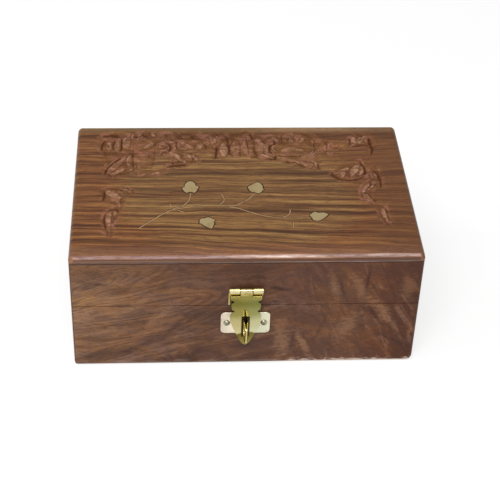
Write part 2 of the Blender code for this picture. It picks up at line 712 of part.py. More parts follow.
def make_inlay(body, panel):
    """Flat brass leaves, and strips set on edge, each in its own pocket of the panel."""
    centre = (0, 0, HEIGHT - INLAY_DEPTH / 2)
    room = INLAY_DEPTH + 2 * GLUE_GAP
    for name, knots in INLAY_LEAVES.items():
        outline = [Vector(p) * MM for p in knots]
        pocket = flat_piece(name + "_pocket", grown_outline(outline, 1.5 * INLAY_GAP), room, centre)
        cut(panel, as_cutter(pocket))
        finish_piece(flat_piece(name, outline, INLAY_DEPTH, centre), body, "brass")
    for name, knots in INLAY_STEMS.items():
        path = smooth_path([Vector(p) * MM for p in knots], STEM_STEPS)
        first = (path[0] - path[1]).normalized() * INLAY_GAP
        last = (path[-1] - path[-2]).normalized() * INLAY_GAP
        longer = [path[0] + first, *path, path[-1] + last]
        groove = ribbon(name + "_groove", longer, room, STEM_THICK + 2 * INLAY_GAP, centre)
        cut(panel, as_cutter(groove))
        finish_piece(ribbon(name, path, INLAY_DEPTH, STEM_THICK, centre), body, "brass")


# ---------------------------------------------------------------- assembly

clear_scene()
PARTS = new_collection("inlaid_box")
CUTTERS = new_collection("cutters")
MATERIALS = {name: new_material(name) for name in COLOURS}

base_body = new_axis("base_body", (0, 0, 0))
lid_body = new_axis("lid_axis", LID_AXIS)
hasp_body = new_axis("hasp_axis", HASP_AXIS, lid_body)

trim = make_outer_form()
base_walls = make_base_wood(base_body, trim)
lid_walls, top_panel = make_lid_wood(lid_body, trim)
stop_groove = make_stop_groove()
cut(base_walls["back"], stop_groove)
cut(lid_walls["back"], stop_groove)
make_linings(base_body, lid_body)
make_lid_hinge("left", -HINGE_X, base_body, lid_body, base_walls["back"], lid_walls["back"])
make_lid_hinge("right", HINGE_X, base_body, lid_body, base_walls["back"], lid_walls["back"])
make_staple(base_body, base_walls["front"])
make_hasp_fixed_leaf(lid_body, lid_walls["front"])
make_hasp_leaf(hasp_body)
make_inlay(lid_body, top_panel)
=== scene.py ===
"""The looks of a small rosewood box: carved and inlaid lid, brass hasp and staple, velvet inside."""

import math

import bmesh
import bpy
import numpy as np
from mathutils import Matrix, Vector


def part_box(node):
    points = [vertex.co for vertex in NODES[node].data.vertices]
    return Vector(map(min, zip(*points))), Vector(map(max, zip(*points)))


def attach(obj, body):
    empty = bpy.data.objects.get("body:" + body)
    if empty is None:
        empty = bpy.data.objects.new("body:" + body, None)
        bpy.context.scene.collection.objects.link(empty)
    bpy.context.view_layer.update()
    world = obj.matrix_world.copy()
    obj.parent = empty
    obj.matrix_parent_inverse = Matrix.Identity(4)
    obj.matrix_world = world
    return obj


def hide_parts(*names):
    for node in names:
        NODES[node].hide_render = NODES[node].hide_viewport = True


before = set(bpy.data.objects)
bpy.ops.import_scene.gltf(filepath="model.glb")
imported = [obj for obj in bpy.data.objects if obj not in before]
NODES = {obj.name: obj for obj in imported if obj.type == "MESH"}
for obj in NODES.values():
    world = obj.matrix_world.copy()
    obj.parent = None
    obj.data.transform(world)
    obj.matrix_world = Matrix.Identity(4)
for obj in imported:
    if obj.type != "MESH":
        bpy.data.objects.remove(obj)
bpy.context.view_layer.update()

MM = 0.001


# -------- colours and node graphs

def linear(colour):
    """A display colour such as "#c08040", as the linear RGBA that nodes take."""
    if not isinstance(colour, str):
        return colour
    shares = [int(colour[i:i + 2], 16) / 255 for i in (1, 3, 5)]
    return *(c / 12.92 if c <= 0.04045 else ((c + 0.055) / 1.055) ** 2.4 for c in shares), 1.0


class Graph:
    """A node tree, written as calls that return sockets."""

    def __init__(self, tree):
        self.tree = tree

    def feed(self, socket, value):
        """Link a socket, or set its value or colour."""
        if isinstance(value, bpy.types.NodeSocket):
            self.tree.links.new(value, socket)
        else:
            socket.default_value = linear(value)

    def node(self, kind, inputs, **settings):
        """A node of this kind, with its settings and inputs."""
        made = self.tree.nodes.new("ShaderNode" + kind)
        for key, value in settings.items():
            setattr(made, key, value)
        for key, value in inputs.items():
            self.feed(made.inputs[key], value)
        return made

    def math(self, operation, a, b=0.0):
        """One arithmetic step."""
        return self.node("Math", {0: a, 1: b}, operation=operation).outputs[0]

    def add(self, first, *others):
        """The sum of the values."""
        for other in others:
            first = self.math("ADD", first, other)
        return first

    def times(self, first, *others):
        """The product of the values."""
        for other in others:
            first = self.math("MULTIPLY", first, other)
        return first

    def off(self, value, centre=0):
        """How far a value is from a centre."""
        return self.math("ABSOLUTE", self.add(value, -centre))

    def sway(self, noise, width):
        """Noise made to swing this wide about zero."""
        return self.times(self.add(noise, -0.5), width)

    def split(self, vector):
        """The three parts of a vector."""
        return self.node("SeparateXYZ", {0: vector}).outputs

    def vector(self, x, y, z):
        """A vector from three values."""
        return self.node("CombineXYZ", {0: x, 1: y, 2: z}).outputs[0]

    def fade(self, value, low, high, to_low=0.0, to_high=1.0):
        """A smooth step of value from low to high."""
        inputs = {"Value": value, "From Min": low, "From Max": high, "To Min": to_low, "To Max": to_high}
        return self.node("MapRange", inputs, interpolation_type="SMOOTHSTEP").outputs[0]

    def ramp(self, value, stops, low=0.0, high=1.0):
        """A colour ramp over low..high, from (position, colour) stops."""
        share = self.node("MapRange", {"Value": value, "From Min": low, "From Max": high}).outputs[0]
        made = self.node("ValToRGB", {0: share})
        made.color_ramp.interpolation = "EASE"
        points = made.color_ramp.elements
        while len(points) < len(stops):
            points.new(0.5)
        for point, (position, colour) in zip(points, sorted(stops)):
            point.position = (position - low) / (high - low)
            point.color = linear(colour)
        return made.outputs["Color"]

    def mix(self, factor, a, b, kind="MIX"):
        """Colour b over a."""
        made = self.tree.nodes.new("ShaderNodeMix")
        made.data_type = "RGBA"
        made.blend_type = kind
        self.feed(made.inputs["Factor"], factor)
        self.feed(made.inputs[6], a)
        self.feed(made.inputs[7], b)
        return made.outputs[2]


class Shade(Graph):
    """A material's node graph, over a position in millimetres."""

    def __init__(self, name):
        self.material = bpy.data.materials.new(name)
        self.material.use_nodes = True
        super().__init__(self.material.node_tree)
        self.surface = self.tree.nodes["Principled BSDF"]
        place = self.tree.nodes.new("ShaderNodeTexCoord")
        self.position = self.node("VectorMath", {0: place.outputs["Object"], "Scale": 1 / MM},
                                  operation="SCALE").outputs[0]
        self.normal = place.outputs["Normal"]
        self.x, self.y, self.z = self.split(self.position)

    def noise(self, scale, detail=2, roughness=0.5, distortion=0, shift=(0, 0, 0), at=None):
        """Noise in 0..1 about 0.5; scale is cells per millimetre along each axis."""
        where = self.position if at is None else at
        place = self.node("VectorMath", {0: where, 1: scale, 2: shift}, operation="MULTIPLY_ADD")
        inputs = {"Vector": place.outputs[0], "Scale": 1.0, "Detail": detail,
                  "Roughness": roughness, "Distortion": distortion}
        return self.node("TexNoise", inputs).outputs["Fac"]

    def scratches(self, scale=(0.8, 3, 9)):
        """Fine scratches, longest across the width."""
        return self.noise(scale, 2, 0.6)

    def smudge(self, centre, half, degrees, ragged):
        """1 inside a turned oval in the front's plane, fading out at its ragged rim."""
        turn = math.radians(degrees)
        from_x, from_z = self.add(self.x, -centre[0]), self.add(self.z, -centre[1])
        along = self.add(self.times(from_x, math.cos(turn) / half[0]),
                         self.times(from_z, math.sin(turn) / half[0]))
        across = self.add(self.times(from_z, math.cos(turn) / half[1]),
                          self.times(from_x, -math.sin(turn) / half[1]))
        far = self.node("VectorMath", {0: self.vector(along, across, 0)}, operation="LENGTH")
        return self.fade(self.add(far.outputs["Value"], ragged), 0.35, 1.25, 1, 0)

    def turned(self, degrees):
        """The position in the front's plane, its first axis turned this far up from level."""
        turn = math.radians(degrees)
        along = self.add(self.times(self.x, math.cos(turn)), self.times(self.z, math.sin(turn)))
        across = self.add(self.times(self.z, math.cos(turn)), self.times(self.x, -math.sin(turn)))
        return self.vector(along, self.y, across)

    def attribute(self, name):
        """A value stored on the mesh's points."""
        return self.node("Attribute", {}, attribute_name=name).outputs["Fac"]

    def finish(self, colour, roughness, bump=None, bump_mm=0.1, **principled):
        """Feed the surface, with an optional bump height of this many millimetres."""
        self.feed(self.surface.inputs["Base Color"], colour)
        self.feed(self.surface.inputs["Roughness"], roughness)
        for key, value in principled.items():
            self.feed(self.surface.inputs[key.replace("_", " ")], value)
        if bump is not None:
            raised = self.node("Bump", {"Height": bump, "Distance": bump_mm * MM})
            self.feed(self.surface.inputs["Normal"], raised.outputs[0])
        return self.material


def dress(obj, material):
    """Give an object this one material."""
    obj.data.materials.clear()
    obj.data.materials.append(material)
    return obj


# -------- mesh helpers

def new_object(name, mesh):
    """A mesh object linked to the scene."""
    made = bpy.data.objects.new(name, mesh)
    bpy.context.scene.collection.objects.link(made)
    return made


def set_smooth(mesh):
    """Smooth shading on every face."""
    mesh.polygons.foreach_set("use_smooth", [True] * len(mesh.polygons))
    mesh.update()


def add_modifier(obj, kind, **settings):
    """A modifier with these settings."""
    made = obj.modifiers.new(kind.lower(), kind)
    for key, value in settings.items():
        setattr(made, key, value)
    return made


def apply_modifiers(obj):
    """Bake an object's modifiers into its mesh."""
    graph = bpy.context.evaluated_depsgraph_get()
    mesh = bpy.data.meshes.new_from_object(obj.evaluated_get(graph))
    obj.modifiers.clear()
    obj.data = mesh


def reshape(obj, move):
    """Pass an object's points, in millimetres, through a function of x, y and z."""
    points = np.empty(3 * len(obj.data.vertices))
    obj.data.vertices.foreach_get("co", points)
    moved = np.stack(move(*(points.reshape(-1, 3).T / MM)), axis=1) * MM
    obj.data.vertices.foreach_set("co", moved.ravel())
    obj.data.update()


def store(obj, name, values):
    """Store a value for every point of a mesh."""
    field = obj.data.attributes.new(name, "FLOAT", "POINT")
    field.data.foreach_set("value", np.ascontiguousarray(values, np.float32))


def worn_copy(node, name, cell, passes):
    """A copy of a CAD node in small even faces, with its edges rubbed round."""
    made = new_object(name, NODES[node].data.copy())
    add_modifier(made, "REMESH", mode="VOXEL", voxel_size=cell * MM)
    add_modifier(made, "SMOOTH", iterations=passes)
    apply_modifiers(made)
    set_smooth(made.data)
    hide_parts(node)
    return made


def ease(value):
    """A smooth step from 0 to 1."""
    value = np.clip(value, 0.0, 1.0)
    return value * value * (3 - 2 * value)


def value_noise(x, y, cell_x, cell_y, seed):
    """Smooth repeatable noise in -1..1 over a plane."""
    table = np.random.default_rng(seed).uniform(-1, 1, (256, 256))
    u, v = x / cell_x + 100, y / cell_y + 100
    i, j = np.floor(u).astype(int), np.floor(v).astype(int)
    a, b = ease(u - i), ease(v - j)

    def at(di, dj):
        return table[(i + di) % 256, (j + dj) % 256]
    near = at(0, 0) * (1 - a) + at(1, 0) * a
    far = at(0, 1) * (1 - a) + at(1, 1) * a
    return near * (1 - b) + far * b


# -------- the carved lid top

# Raised leaves and petals: (centre line, width, how pale the ridge is: partly rubbed wear, partly
# painted highlight).
LEAVES = [
    # back border, left half
    ([(-60.6, 29), (-61, 34), (-60.4, 39)], 3, 0.5),
    ([(-56.8, 29), (-57.2, 34), (-56.6, 39)], 2.8, 0.4),
    ([(-52.8, 31), (-53, 37), (-51.8, 43)], 4.6, 0.6),
    ([(-50.4, 39.5), (-49.8, 44)], 1.8, 0.9),
    ([(-47.6, 41), (-46, 43.6), (-43.6, 41.8)], 1.8, 0.5),
    ([(-41.5, 44.5), (-39.8, 41.2)], 2.2, 0.9),
    ([(-44.6, 31.4), (-42, 34), (-40.4, 36.6)], 3.4, 0.8),
    ([(-33, 37.5), (-30.5, 34), (-31, 29.5)], 2.8, 0.6),
    ([(-33, 28.6), (-29.5, 25), (-25.3, 19.6)], 3.4, 1),
    ([(-27.2, 27.6), (-24.2, 25.4), (-22.4, 22.4)], 2.8, 0.5),
    ([(-22.2, 26.6), (-21, 23.8), (-20, 21)], 2.2, 0.7),
    ([(-27.6, 36.6), (-24.8, 33.6), (-22, 31.4)], 4.2, 0.4),
    ([(-18.6, 36), (-18.4, 31)], 3.2, 0.5),
    ([(-14, 41.2), (-12, 38), (-13.6, 33.6)], 3.4, 0.2),
    ([(-7.6, 24.6), (-7.4, 30), (-7.4, 36.4)], 4.6, 1),
    ([(-1.4, 26.6), (-2, 32), (-1, 38.6)], 4.6, 0.3),
    # back border, right half
    ([(3.6, 26), (2.2, 31.4), (3, 38)], 3.4, 0.2),
    ([(9.4, 27), (9.8, 33), (8.6, 40.6)], 5.6, 0.3),
    ([(12.6, 26), (12.6, 30.6), (13.6, 36.4)], 2.6, 1),
    ([(9.6, 26.4), (12.4, 24.6), (15.8, 22.6)], 2.2, 0.8),
    ([(15.6, 41), (17.6, 38), (19, 35.6)], 2.8, 0.2),
    ([(23.4, 35.4), (25, 37.6), (24.4, 41)], 2.8, 0.8),
    ([(28.6, 36), (30.4, 38.6), (30, 41)], 2, 0.6),
    ([(19.4, 28.4), (24.6, 30.4), (30.6, 28.6)], 4.6, 0.2),
    ([(35.2, 31.4), (34.4, 27.4), (31, 23.4)], 2.6, 1),
    ([(28.2, 20.2), (29.6, 18), (31.4, 15.6)], 2.2, 0.7),
    ([(33.4, 20.8), (34.8, 18.2), (35.2, 15.2)], 2.2, 0.6),
    ([(24.8, 21.2), (26.4, 19.6), (28, 17.4)], 1.8, 0.5),
    ([(34.8, 32.6), (35, 38.6)], 1.6, 0.8),
    ([(42.2, 31), (42.6, 35)], 1.4, 1),
    ([(41.4, 26.4), (41.8, 29)], 1.4, 0.9),
    ([(39, 29), (38, 32)], 1.4, 0.5),
    # back right corner
    ([(54.4, 33.6), (54.6, 37.6), (55.2, 40.8)], 4, 0.9),
    ([(57.2, 34.8), (58, 38.6), (60.6, 41.4)], 3.4, 0.9),
    # right side
    ([(54.8, 17.6), (52.4, 13.4), (50.6, 8.4)], 4.4, 1),
    ([(50, 15.6), (46.4, 12.4), (42.4, 10.4)], 3.2, 0.9),
    ([(47, 13), (46.6, 10), (46.2, 7.4)], 3, 1),
    ([(55.8, 16.6), (55.6, 12.6), (54.4, 9.4)], 2.6, 0.9),
    ([(61.2, 15), (61.6, 10), (61.4, 5)], 2.2, 0.5),
    ([(60.8, 4.4), (58.2, 1.4), (53.8, -4.6)], 4.2, 0.9),
    ([(54.6, -4.6), (55.6, -8), (58.4, -12.4)], 3.4, 0.6),
    ([(61, -15.8), (61.8, -20.6), (62.6, -26.4)], 3, 0.9),
    # left side
    ([(-60.6, 12.6), (-57.4, 19.4), (-53, 25.6)], 5.4, 0.4),
    ([(-51.4, 17.6), (-51.6, 21.6), (-51, 26)], 2.6, 1),
    ([(-51.6, 13.4), (-49.4, 15.6), (-48.2, 18)], 1.8, 0.9),
    ([(-59.6, 9.4), (-56.6, 12.6), (-52.4, 15.6)], 3, 0.8),
    ([(-45.6, 9.6), (-43.2, 12)], 1.8, 0.4),
    ([(-41, 10), (-39.4, 11.6), (-36.6, 11.8)], 2.2, 1),
    ([(-61.2, -2), (-58.6, -4.4), (-54.8, -7.6)], 5, 0.9),
    ([(-54, -1), (-51.8, -1.6), (-50.4, -3.6)], 1.8, 0.8),
    ([(-57, -8.6), (-55.4, -12), (-55, -15)], 1.8, 0.5),
    ([(-59, -17.4), (-59.8, -22.4), (-59.4, -28.4)], 3, 1),
    ([(-57.2, -16), (-57, -20), (-58, -24)], 2, 0.6),
    ([(-59.8, -29), (-59, -34.6)], 1.8, 0.7),
]

# Beads that curl: (centre, radius, first and last angle in degrees).
SCROLLS = [
    ((-36.2, 33.2), 3.6, -110, 200),
    ((-36, 33.4), 1.6, 60, 330),
    ((-24.8, 34.2), 4.6, 80, 290),
    ((-45.6, 38.6), 3, 30, 200),
    ((-8.6, 40), 2.6, 10, 170),
    ((4, 41), 2.4, 60, 220),
    ((24.6, 38.4), 3.4, 0, 190),
    ((19.4, 31), 4.4, 100, 250),
    ((32, 30.4), 3.6, -70, 80),
    ((30.6, 18), 2.8, -60, 150),
    ((56.6, 36.6), 4, 200, 340),
]

# Knife cuts: (line, width, depth).
CUTS = [
    # back border, left half
    ([(-64, 29.5), (-64.2, 34), (-62.6, 38.6)], 1.1, 1),
    ([(-58.8, 30), (-58.8, 34), (-58.2, 38.6)], 0.9, 0.8),
    ([(-61.4, 34.4), (-60.8, 32.2)], 0.7, 0.6),
    ([(-55.4, 41), (-55, 35), (-55.2, 29.4)], 1.1, 1),
    ([(-63.6, 41.6), (-60, 42.4), (-56, 41)], 2.8, 0.8),
    ([(-49, 42.6), (-48, 40.6)], 1.1, 0.9),
    ([(-45.4, 43.8), (-44, 41.4), (-42, 40.2)], 1.2, 1),
    ([(-49.8, 31), (-49.6, 22), (-49.2, 13)], 0.8, 0.8),
    ([(-39.8, 29.8), (-40, 24), (-40.4, 19)], 0.7, 0.5),
    ([(-46, 27.6), (-42.6, 27.4), (-42, 25.6)], 0.8, 0.5),
    ([(-33.4, 28.6), (-32.2, 31), (-32.6, 34.2), (-34.6, 37)], 1.1, 1.1),
    ([(-36.4, 25.8), (-35.8, 28.4), (-33.6, 28.2)], 0.9, 0.8),
    ([(-37.2, 34.6), (-35.2, 33.6), (-35.4, 32.4)], 0.7, 0.6),
    ([(-33.6, 16.6), (-31.6, 17.4), (-28, 18), (-24.6, 18.6)], 2.4, 0.9),
    ([(-31.2, 22.4), (-31.4, 18.6)], 0.9, 0.9),
    ([(-28.8, 37.4), (-29.6, 33.8), (-28.6, 30.2)], 0.9, 0.8),
    ([(-21, 34.6), (-20.8, 31.4)], 0.9, 0.8),
    ([(-28, 25), (-26.4, 21.6)], 0.9, 0.8),
    ([(-22.6, 21.6), (-21, 24.6), (-20.2, 26.4)], 0.8, 0.8),
    ([(-30, 40.6), (-24, 39.8), (-17, 39.6)], 1.2, 0.9),
    ([(-22.2, 42), (-21.4, 39)], 1.2, 0.9),
    ([(-16, 34.8), (-15.4, 31.4)], 1.1, 0.9),
    ([(-10.6, 33), (-10.9, 28), (-11.4, 23.6)], 1.5, 1.2),
    ([(-12.2, 41.6), (-12.4, 37)], 0.8, 0.6),
    ([(-8.6, 42.6), (-5.8, 41.6), (-5, 39), (-5.2, 34.8)], 1, 1),
    ([(-5, 34.8), (-4.8, 30.4), (-5, 27.4), (-2.8, 25.6)], 1.3, 1.2),
    # back border, right half
    ([(0.2, 28.4), (0.1, 25)], 0.9, 0.9),
    ([(3.6, 40.6), (3.8, 36), (4.4, 31)], 0.9, 0.8),
    ([(5.2, 43.6), (6.2, 41), (6.4, 38.6)], 1.3, 1.1),
    ([(6.6, 31), (7.4, 27), (9, 25.2)], 0.9, 0.9),
    ([(6.6, 24.2), (8.4, 24)], 1.3, 0.9),
    ([(11, 38.4), (12.2, 35.2)], 0.8, 0.8),
    ([(11.6, 31.6), (12.2, 29.4)], 0.8, 0.7),
    ([(16.6, 39), (17, 35), (14.6, 33.4), (14, 30), (15.2, 26.4)], 1.3, 1.2),
    ([(16.6, 25.4), (16.4, 22)], 1.2, 1.1),
    ([(9, 23.4), (12, 22.6), (16, 22)], 0.9, 0.7),
    ([(21.2, 43.4), (20.4, 39.6), (21, 35.6)], 0.9, 0.8),
    ([(25.4, 38.8), (27.2, 38.6)], 0.9, 0.7),
    ([(17.2, 26), (21, 24.6), (26, 24.6), (30, 25.6)], 1.2, 0.8),
    ([(20.8, 21), (22.8, 19.6), (25.6, 19.6), (28, 17.6), (29.6, 16)], 1.1, 1),
    ([(29.4, 21.4), (32, 19.6), (34.2, 19.8), (34, 17.6)], 0.9, 0.8),
    ([(35.8, 18.4), (35.9, 14.6)], 1, 1),
    ([(31, 15), (34.4, 14.6)], 0.8, 0.8),
    ([(34.6, 36.4), (35.6, 32), (35, 27.6), (31.6, 24)], 0.8, 0.9),
    ([(41.2, 36.6), (41.6, 33.2), (41, 30.6)], 0.8, 0.8),
    ([(45.2, 30.4), (46.8, 33)], 0.8, 0.5),
    # back right corner
    ([(52.6, 39.6), (53, 36.6), (52, 34)], 1.1, 0.9),
    ([(53.6, 32.6), (56.4, 33.4), (58.6, 34.2), (61.6, 33.4)], 1.5, 1.1),
    ([(57.6, 41), (59.4, 40.6)], 1, 0.9),
    ([(62.4, 41), (62, 36), (62.8, 30.6), (61.8, 26)], 1.5, 1.2),
    # right side
    ([(55.6, 20.6), (57, 15), (57.4, 11), (55.6, 9)], 1.3, 1.2),
    ([(42, 12.6), (41.6, 9.6), (44.6, 6.4), (49.6, 5.2), (54, 6.6), (56.6, 8.4)], 1.3, 1.2),
    ([(48.6, 12.6), (49.8, 10.6)], 0.9, 0.8),
    ([(61, 14.6), (62.6, 9.6), (63.4, 5), (63, -0.4)], 1.3, 1.2),
    ([(59, 4.8), (58.4, 1), (56, -2.2), (55.2, -5.6)], 1, 0.9),
    ([(63.2, -15.6), (63, -20.6), (63.8, -25)], 1, 0.9),
    ([(60.4, -17.4), (60.8, -22), (62.2, -27.4)], 0.8, 0.6),
    # left side
    ([(-62.4, 10.6), (-61.4, 15), (-58.6, 20), (-54.4, 24.6)], 1.4, 1.2),
    ([(-60.8, 11.6), (-59, 9)], 1.2, 0.9),
    ([(-52.2, 12.6), (-48, 12.4)], 0.9, 0.8),
    ([(-62.2, -1.6), (-62, -6), (-62.6, -9)], 1.1, 1),
    ([(-60.6, 0), (-55.6, -0.6), (-53.6, -2)], 0.8, 0.7),
    ([(-54.4, -7.4), (-54.4, -11)], 0.8, 0.7),
    ([(-60, -16.8), (-57.4, -15.6), (-55.4, -17)], 1.5, 0.9),
    ([(-61.2, -18.6), (-61.4, -24), (-60.6, -30.4)], 1, 1),
    ([(-57, -20), (-57.8, -25.4)], 0.8, 0.8),
    ([(-59.6, -29.6), (-59.4, -34.8)], 0.7, 0.7),
]

# Ground cut away between the leaves: (line, half width).
BEDS = [
    ([(-60, 36.5), (-38, 38), (-10, 35)], 7),
    ([(-10, 35), (12, 34), (31, 36.5)], 7),
    ([(-57.5, 27), (-56, 17)], 4.5),
    ([(-46, 29), (-44, 20)], 4),
    ([(-30, 30), (-26, 24)], 4.5),
    ([(26, 30), (31, 22)], 4.5),
]

TOP_Z = 61.5
PANEL_BOTTOM_Z = 58.0
PLUG_BOTTOM_Z = 54.5
PLUG_HALF_WIDTH = 67.9
PLUG_HALF_DEPTH = 41.9
EDGE_ROUND = 2.2
CORNER_ROUND = 1.5
HALF_WIDTH = 76.0
HALF_DEPTH = 50.0
GRID_STEP = 0.43
GROUND_DEPTH = 0.38
GROUND_REACH = 2.2
LEAF_CREST = 0.06
LEAF_SLICE = 0.3
# How dark the painted shade round each leaf's outline is.
LEAF_OUTLINE = 0.55
VEIN_DEPTH = 0.12
VEIN_HALF_WIDTH = 0.35
SCROLL_WIDTH = 1.5
CUT_DEPTH = 0.6
TOP_WEAR = 0.03
INLAY_STANDS_PROUD = 0.04

# The inlay's filler: how far it spreads round a piece, and how far back it sits; set back behind the
# stems, its dark edge there is partly painted shade.
LEAF_FILLER = (0.55, 0)
STEM_FILLER = (0.15, 0.18)
FILLER_BELOW = 0.02


def distance_along(line, x, y):
    """Each point's distance from a line, its side of it, and its place along it from 0 to 1."""
    line = np.array(line)
    steps = np.diff(line, axis=0)
    lengths = np.hypot(*steps.T)
    best = np.full(x.shape, np.inf)
    share = np.zeros(x.shape)
    side = np.ones(x.shape)
    for start, step, length, before in zip(line, steps, lengths, np.cumsum(lengths) - lengths):
        from_x, from_y = x - start[0], y - start[1]
        along = np.clip((from_x * step[0] + from_y * step[1]) / length**2, 0, 1)
        off = np.hypot(from_x - along * step[0], from_y - along * step[1])
        nearer = off < best
        best[nearer] = off[nearer]
        share[nearer] = ((before + along * length) / lengths.sum())[nearer]
        side[nearer] = np.sign(step[0] * from_y - step[1] * from_x)[nearer]
    return best, side, share


def bend(line):
    """A three-point line made into a smooth curve through all three points."""
    if len(line) != 3:
        return line
    first, middle, last = (np.array(point) for point in line)
    pull = 2 * middle - (first + last) / 2
    turns = np.linspace(0, 1, 9)[:, None]
    return (1 - turns)**2 * first + 2 * turns * (1 - turns) * pull + turns**2 * last


def arc(centre, radius, first, last):
    """A spiral arc that tightens a little towards its end."""
    angles = np.radians(np.linspace(first, last, 16))
    radii = np.linspace(radius, 0.7 * radius, 16)
    return np.stack([centre[0] + radii * np.cos(angles), centre[1] + radii * np.sin(angles)], axis=1)


class Carving:
    """Height, colour masks and ground of the carved border, over a grid of points."""

    def __init__(self, x, y):
        self.x, self.y = x, y
        self.nearest = np.full(x.shape, np.inf)
        self.raised = np.full(x.shape, -np.inf)
        self.sunk = np.zeros(x.shape)
        self.cut_depth = np.zeros(x.shape)
        self.pale = np.zeros(x.shape)

    def leaf(self, line, width, pale, fullness=0.6):
        """A leaf that tapers at both ends, sliced down from one edge to the other, with a vein."""
        off, side, share = distance_along(bend(line), self.x, self.y)
        half = width / 2 * np.sin(np.pi * np.clip(share, 0, 1)**0.8)**fullness + 1e-6
        inside = np.clip(1 - off / half, 0, 1)
        slope = 0.5 - 0.5 * side * off / half
        vein = VEIN_DEPTH * np.exp(-(off / VEIN_HALF_WIDTH)**2)
        top = -LEAF_CREST - LEAF_SLICE * slope - vein
        height = -GROUND_DEPTH + (top + GROUND_DEPTH) * ease(3.5 * inside)
        self.raised = np.where(inside > 0, np.maximum(self.raised, height), self.raised)
        # Painted highlight, partly rubbed wear: the ridge's pale share, palest on the leaf's higher
        # side.
        rubbed = (0.25 + 0.75 * pale) * (1 - 0.6 * slope)
        self.pale = np.maximum(self.pale, rubbed * ease(2.5 * inside))
        # A thin line of painted shade round the leaf.
        outline = np.exp(-((off - half) / 0.3)**2) * (half > 0.2)
        self.sunk = np.maximum(self.sunk, LEAF_OUTLINE * outline)
        self.nearest = np.minimum(self.nearest, np.maximum(off - half, 0))

    def bed(self, line, half):
        """A strip where the ground is cut away whether or not a leaf is near."""
        off, _, _ = distance_along(bend(line), self.x, self.y)
        self.nearest = np.minimum(self.nearest, np.maximum(off - half, 0) + 0.6)

    def cut(self, line, width, depth):
        """A V-shaped knife cut."""
        off, _, share = distance_along(bend(line), self.x, self.y)
        taper = np.clip(np.minimum(share, 1 - share) * 8, 0.35, 1)
        inside = np.clip(1 - off / (0.5 * width * taper), 0, 1)
        self.cut_depth = np.maximum(self.cut_depth, depth * inside)
        # Dark inside the cut: painted shade, partly dirt.
        self.sunk = np.maximum(self.sunk, ease(2.2 * inside) * min(1.0, depth))
        self.nearest = np.minimum(self.nearest, np.maximum(off - width / 2, 0) + 0.8)

    def fields(self):
        """Height in millimetres below the top, and the carved, sunk and pale masks."""
        ragged = self.nearest + 0.7 * value_noise(self.x, self.y, 1.8, 1.6, 5)
        zone = ease((GROUND_REACH - ragged) / 0.7)
        coarse = 0.6 - 2 * np.abs(value_noise(self.x, self.y, 2.4, 3.2, 3))
        fine = value_noise(self.x, self.y, 0.8, 0.9, 4)
        height = -zone * (0.85 * GROUND_DEPTH - 0.07 * coarse - 0.04 * fine)
        height = np.maximum(height, self.raised + 0.02 * coarse + 0.03 * fine)
        height = np.minimum(height, 0) - CUT_DEPTH * self.cut_depth
        return height, zone, self.sunk, self.pale


def carve(x, y):
    """The carved border's fields over a grid."""
    carving = Carving(x, y)
    for line, half in BEDS:
        carving.bed(line, half)
    for line, width, pale in LEAVES:
        carving.leaf(line, width, pale)
    for centre, radius, first, last in SCROLLS:
        carving.leaf(arc(centre, radius, first, last), SCROLL_WIDTH, pale=0.4, fullness=0.15)
    for line, width, depth in CUTS:
        carving.cut(line, width, depth)
    return carving.fields()


def grid_lines(half):
    """Even steps across the top, closing up round the edge."""
    turns = np.radians(np.linspace(0, 90, 7))
    edge = EDGE_ROUND * (1 - np.cos(turns))
    count = round(2 * (half - EDGE_ROUND) / GRID_STEP) + 1
    flat = np.linspace(EDGE_ROUND - half, half - EDGE_ROUND, count)
    return np.concatenate([edge[:-1] - half, flat, half - edge[:-1][::-1]])


def round_corner(x, y):
    """Squeeze a rectangle's points so that its corners are rounded."""
    u = np.clip((np.abs(x) - HALF_WIDTH + CORNER_ROUND) / CORNER_ROUND, 0, 1)
    v = np.clip((np.abs(y) - HALF_DEPTH + CORNER_ROUND) / CORNER_ROUND, 0, 1)
    in_x = np.sign(x) * CORNER_ROUND * u * (1 - np.sqrt(1 - v**2 / 2))
    in_y = np.sign(y) * CORNER_ROUND * v * (1 - np.sqrt(1 - u**2 / 2))
    return x - in_x, y - in_y


def edge_drop(x, y):
    """How far the rounded edge falls below the top."""
    u = np.abs(x) - HALF_WIDTH + EDGE_ROUND
    v = np.abs(y) - HALF_DEPTH + EDGE_ROUND
    into = np.clip(np.hypot(np.maximum(u, 0), np.maximum(v, 0)), 0, EDGE_ROUND)
    return EDGE_ROUND - np.sqrt(EDGE_ROUND**2 - into**2)


def ring_below(ring, scale, z):
    """A ring of points drawn in towards the middle and set at a height in millimetres."""
    return np.stack([ring[:, 0] * scale[0], ring[:, 1] * scale[1], np.full(len(ring), z * MM)], axis=1)


def panel_surface():
    """The carved top's grid of points in millimetres, and its carved, sunk and pale masks."""
    x, y = np.meshgrid(grid_lines(HALF_WIDTH), grid_lines(HALF_DEPTH), indexing="ij")
    height, *masks = carve(x, y)
    wear = TOP_WEAR * value_noise(x, y, 14, 9, 8)
    z = TOP_Z - INLAY_STANDS_PROUD + height + np.minimum(wear, 0) - edge_drop(x, y)
    x, y = round_corner(x, y)
    return np.stack([x, y, z], axis=-1), masks


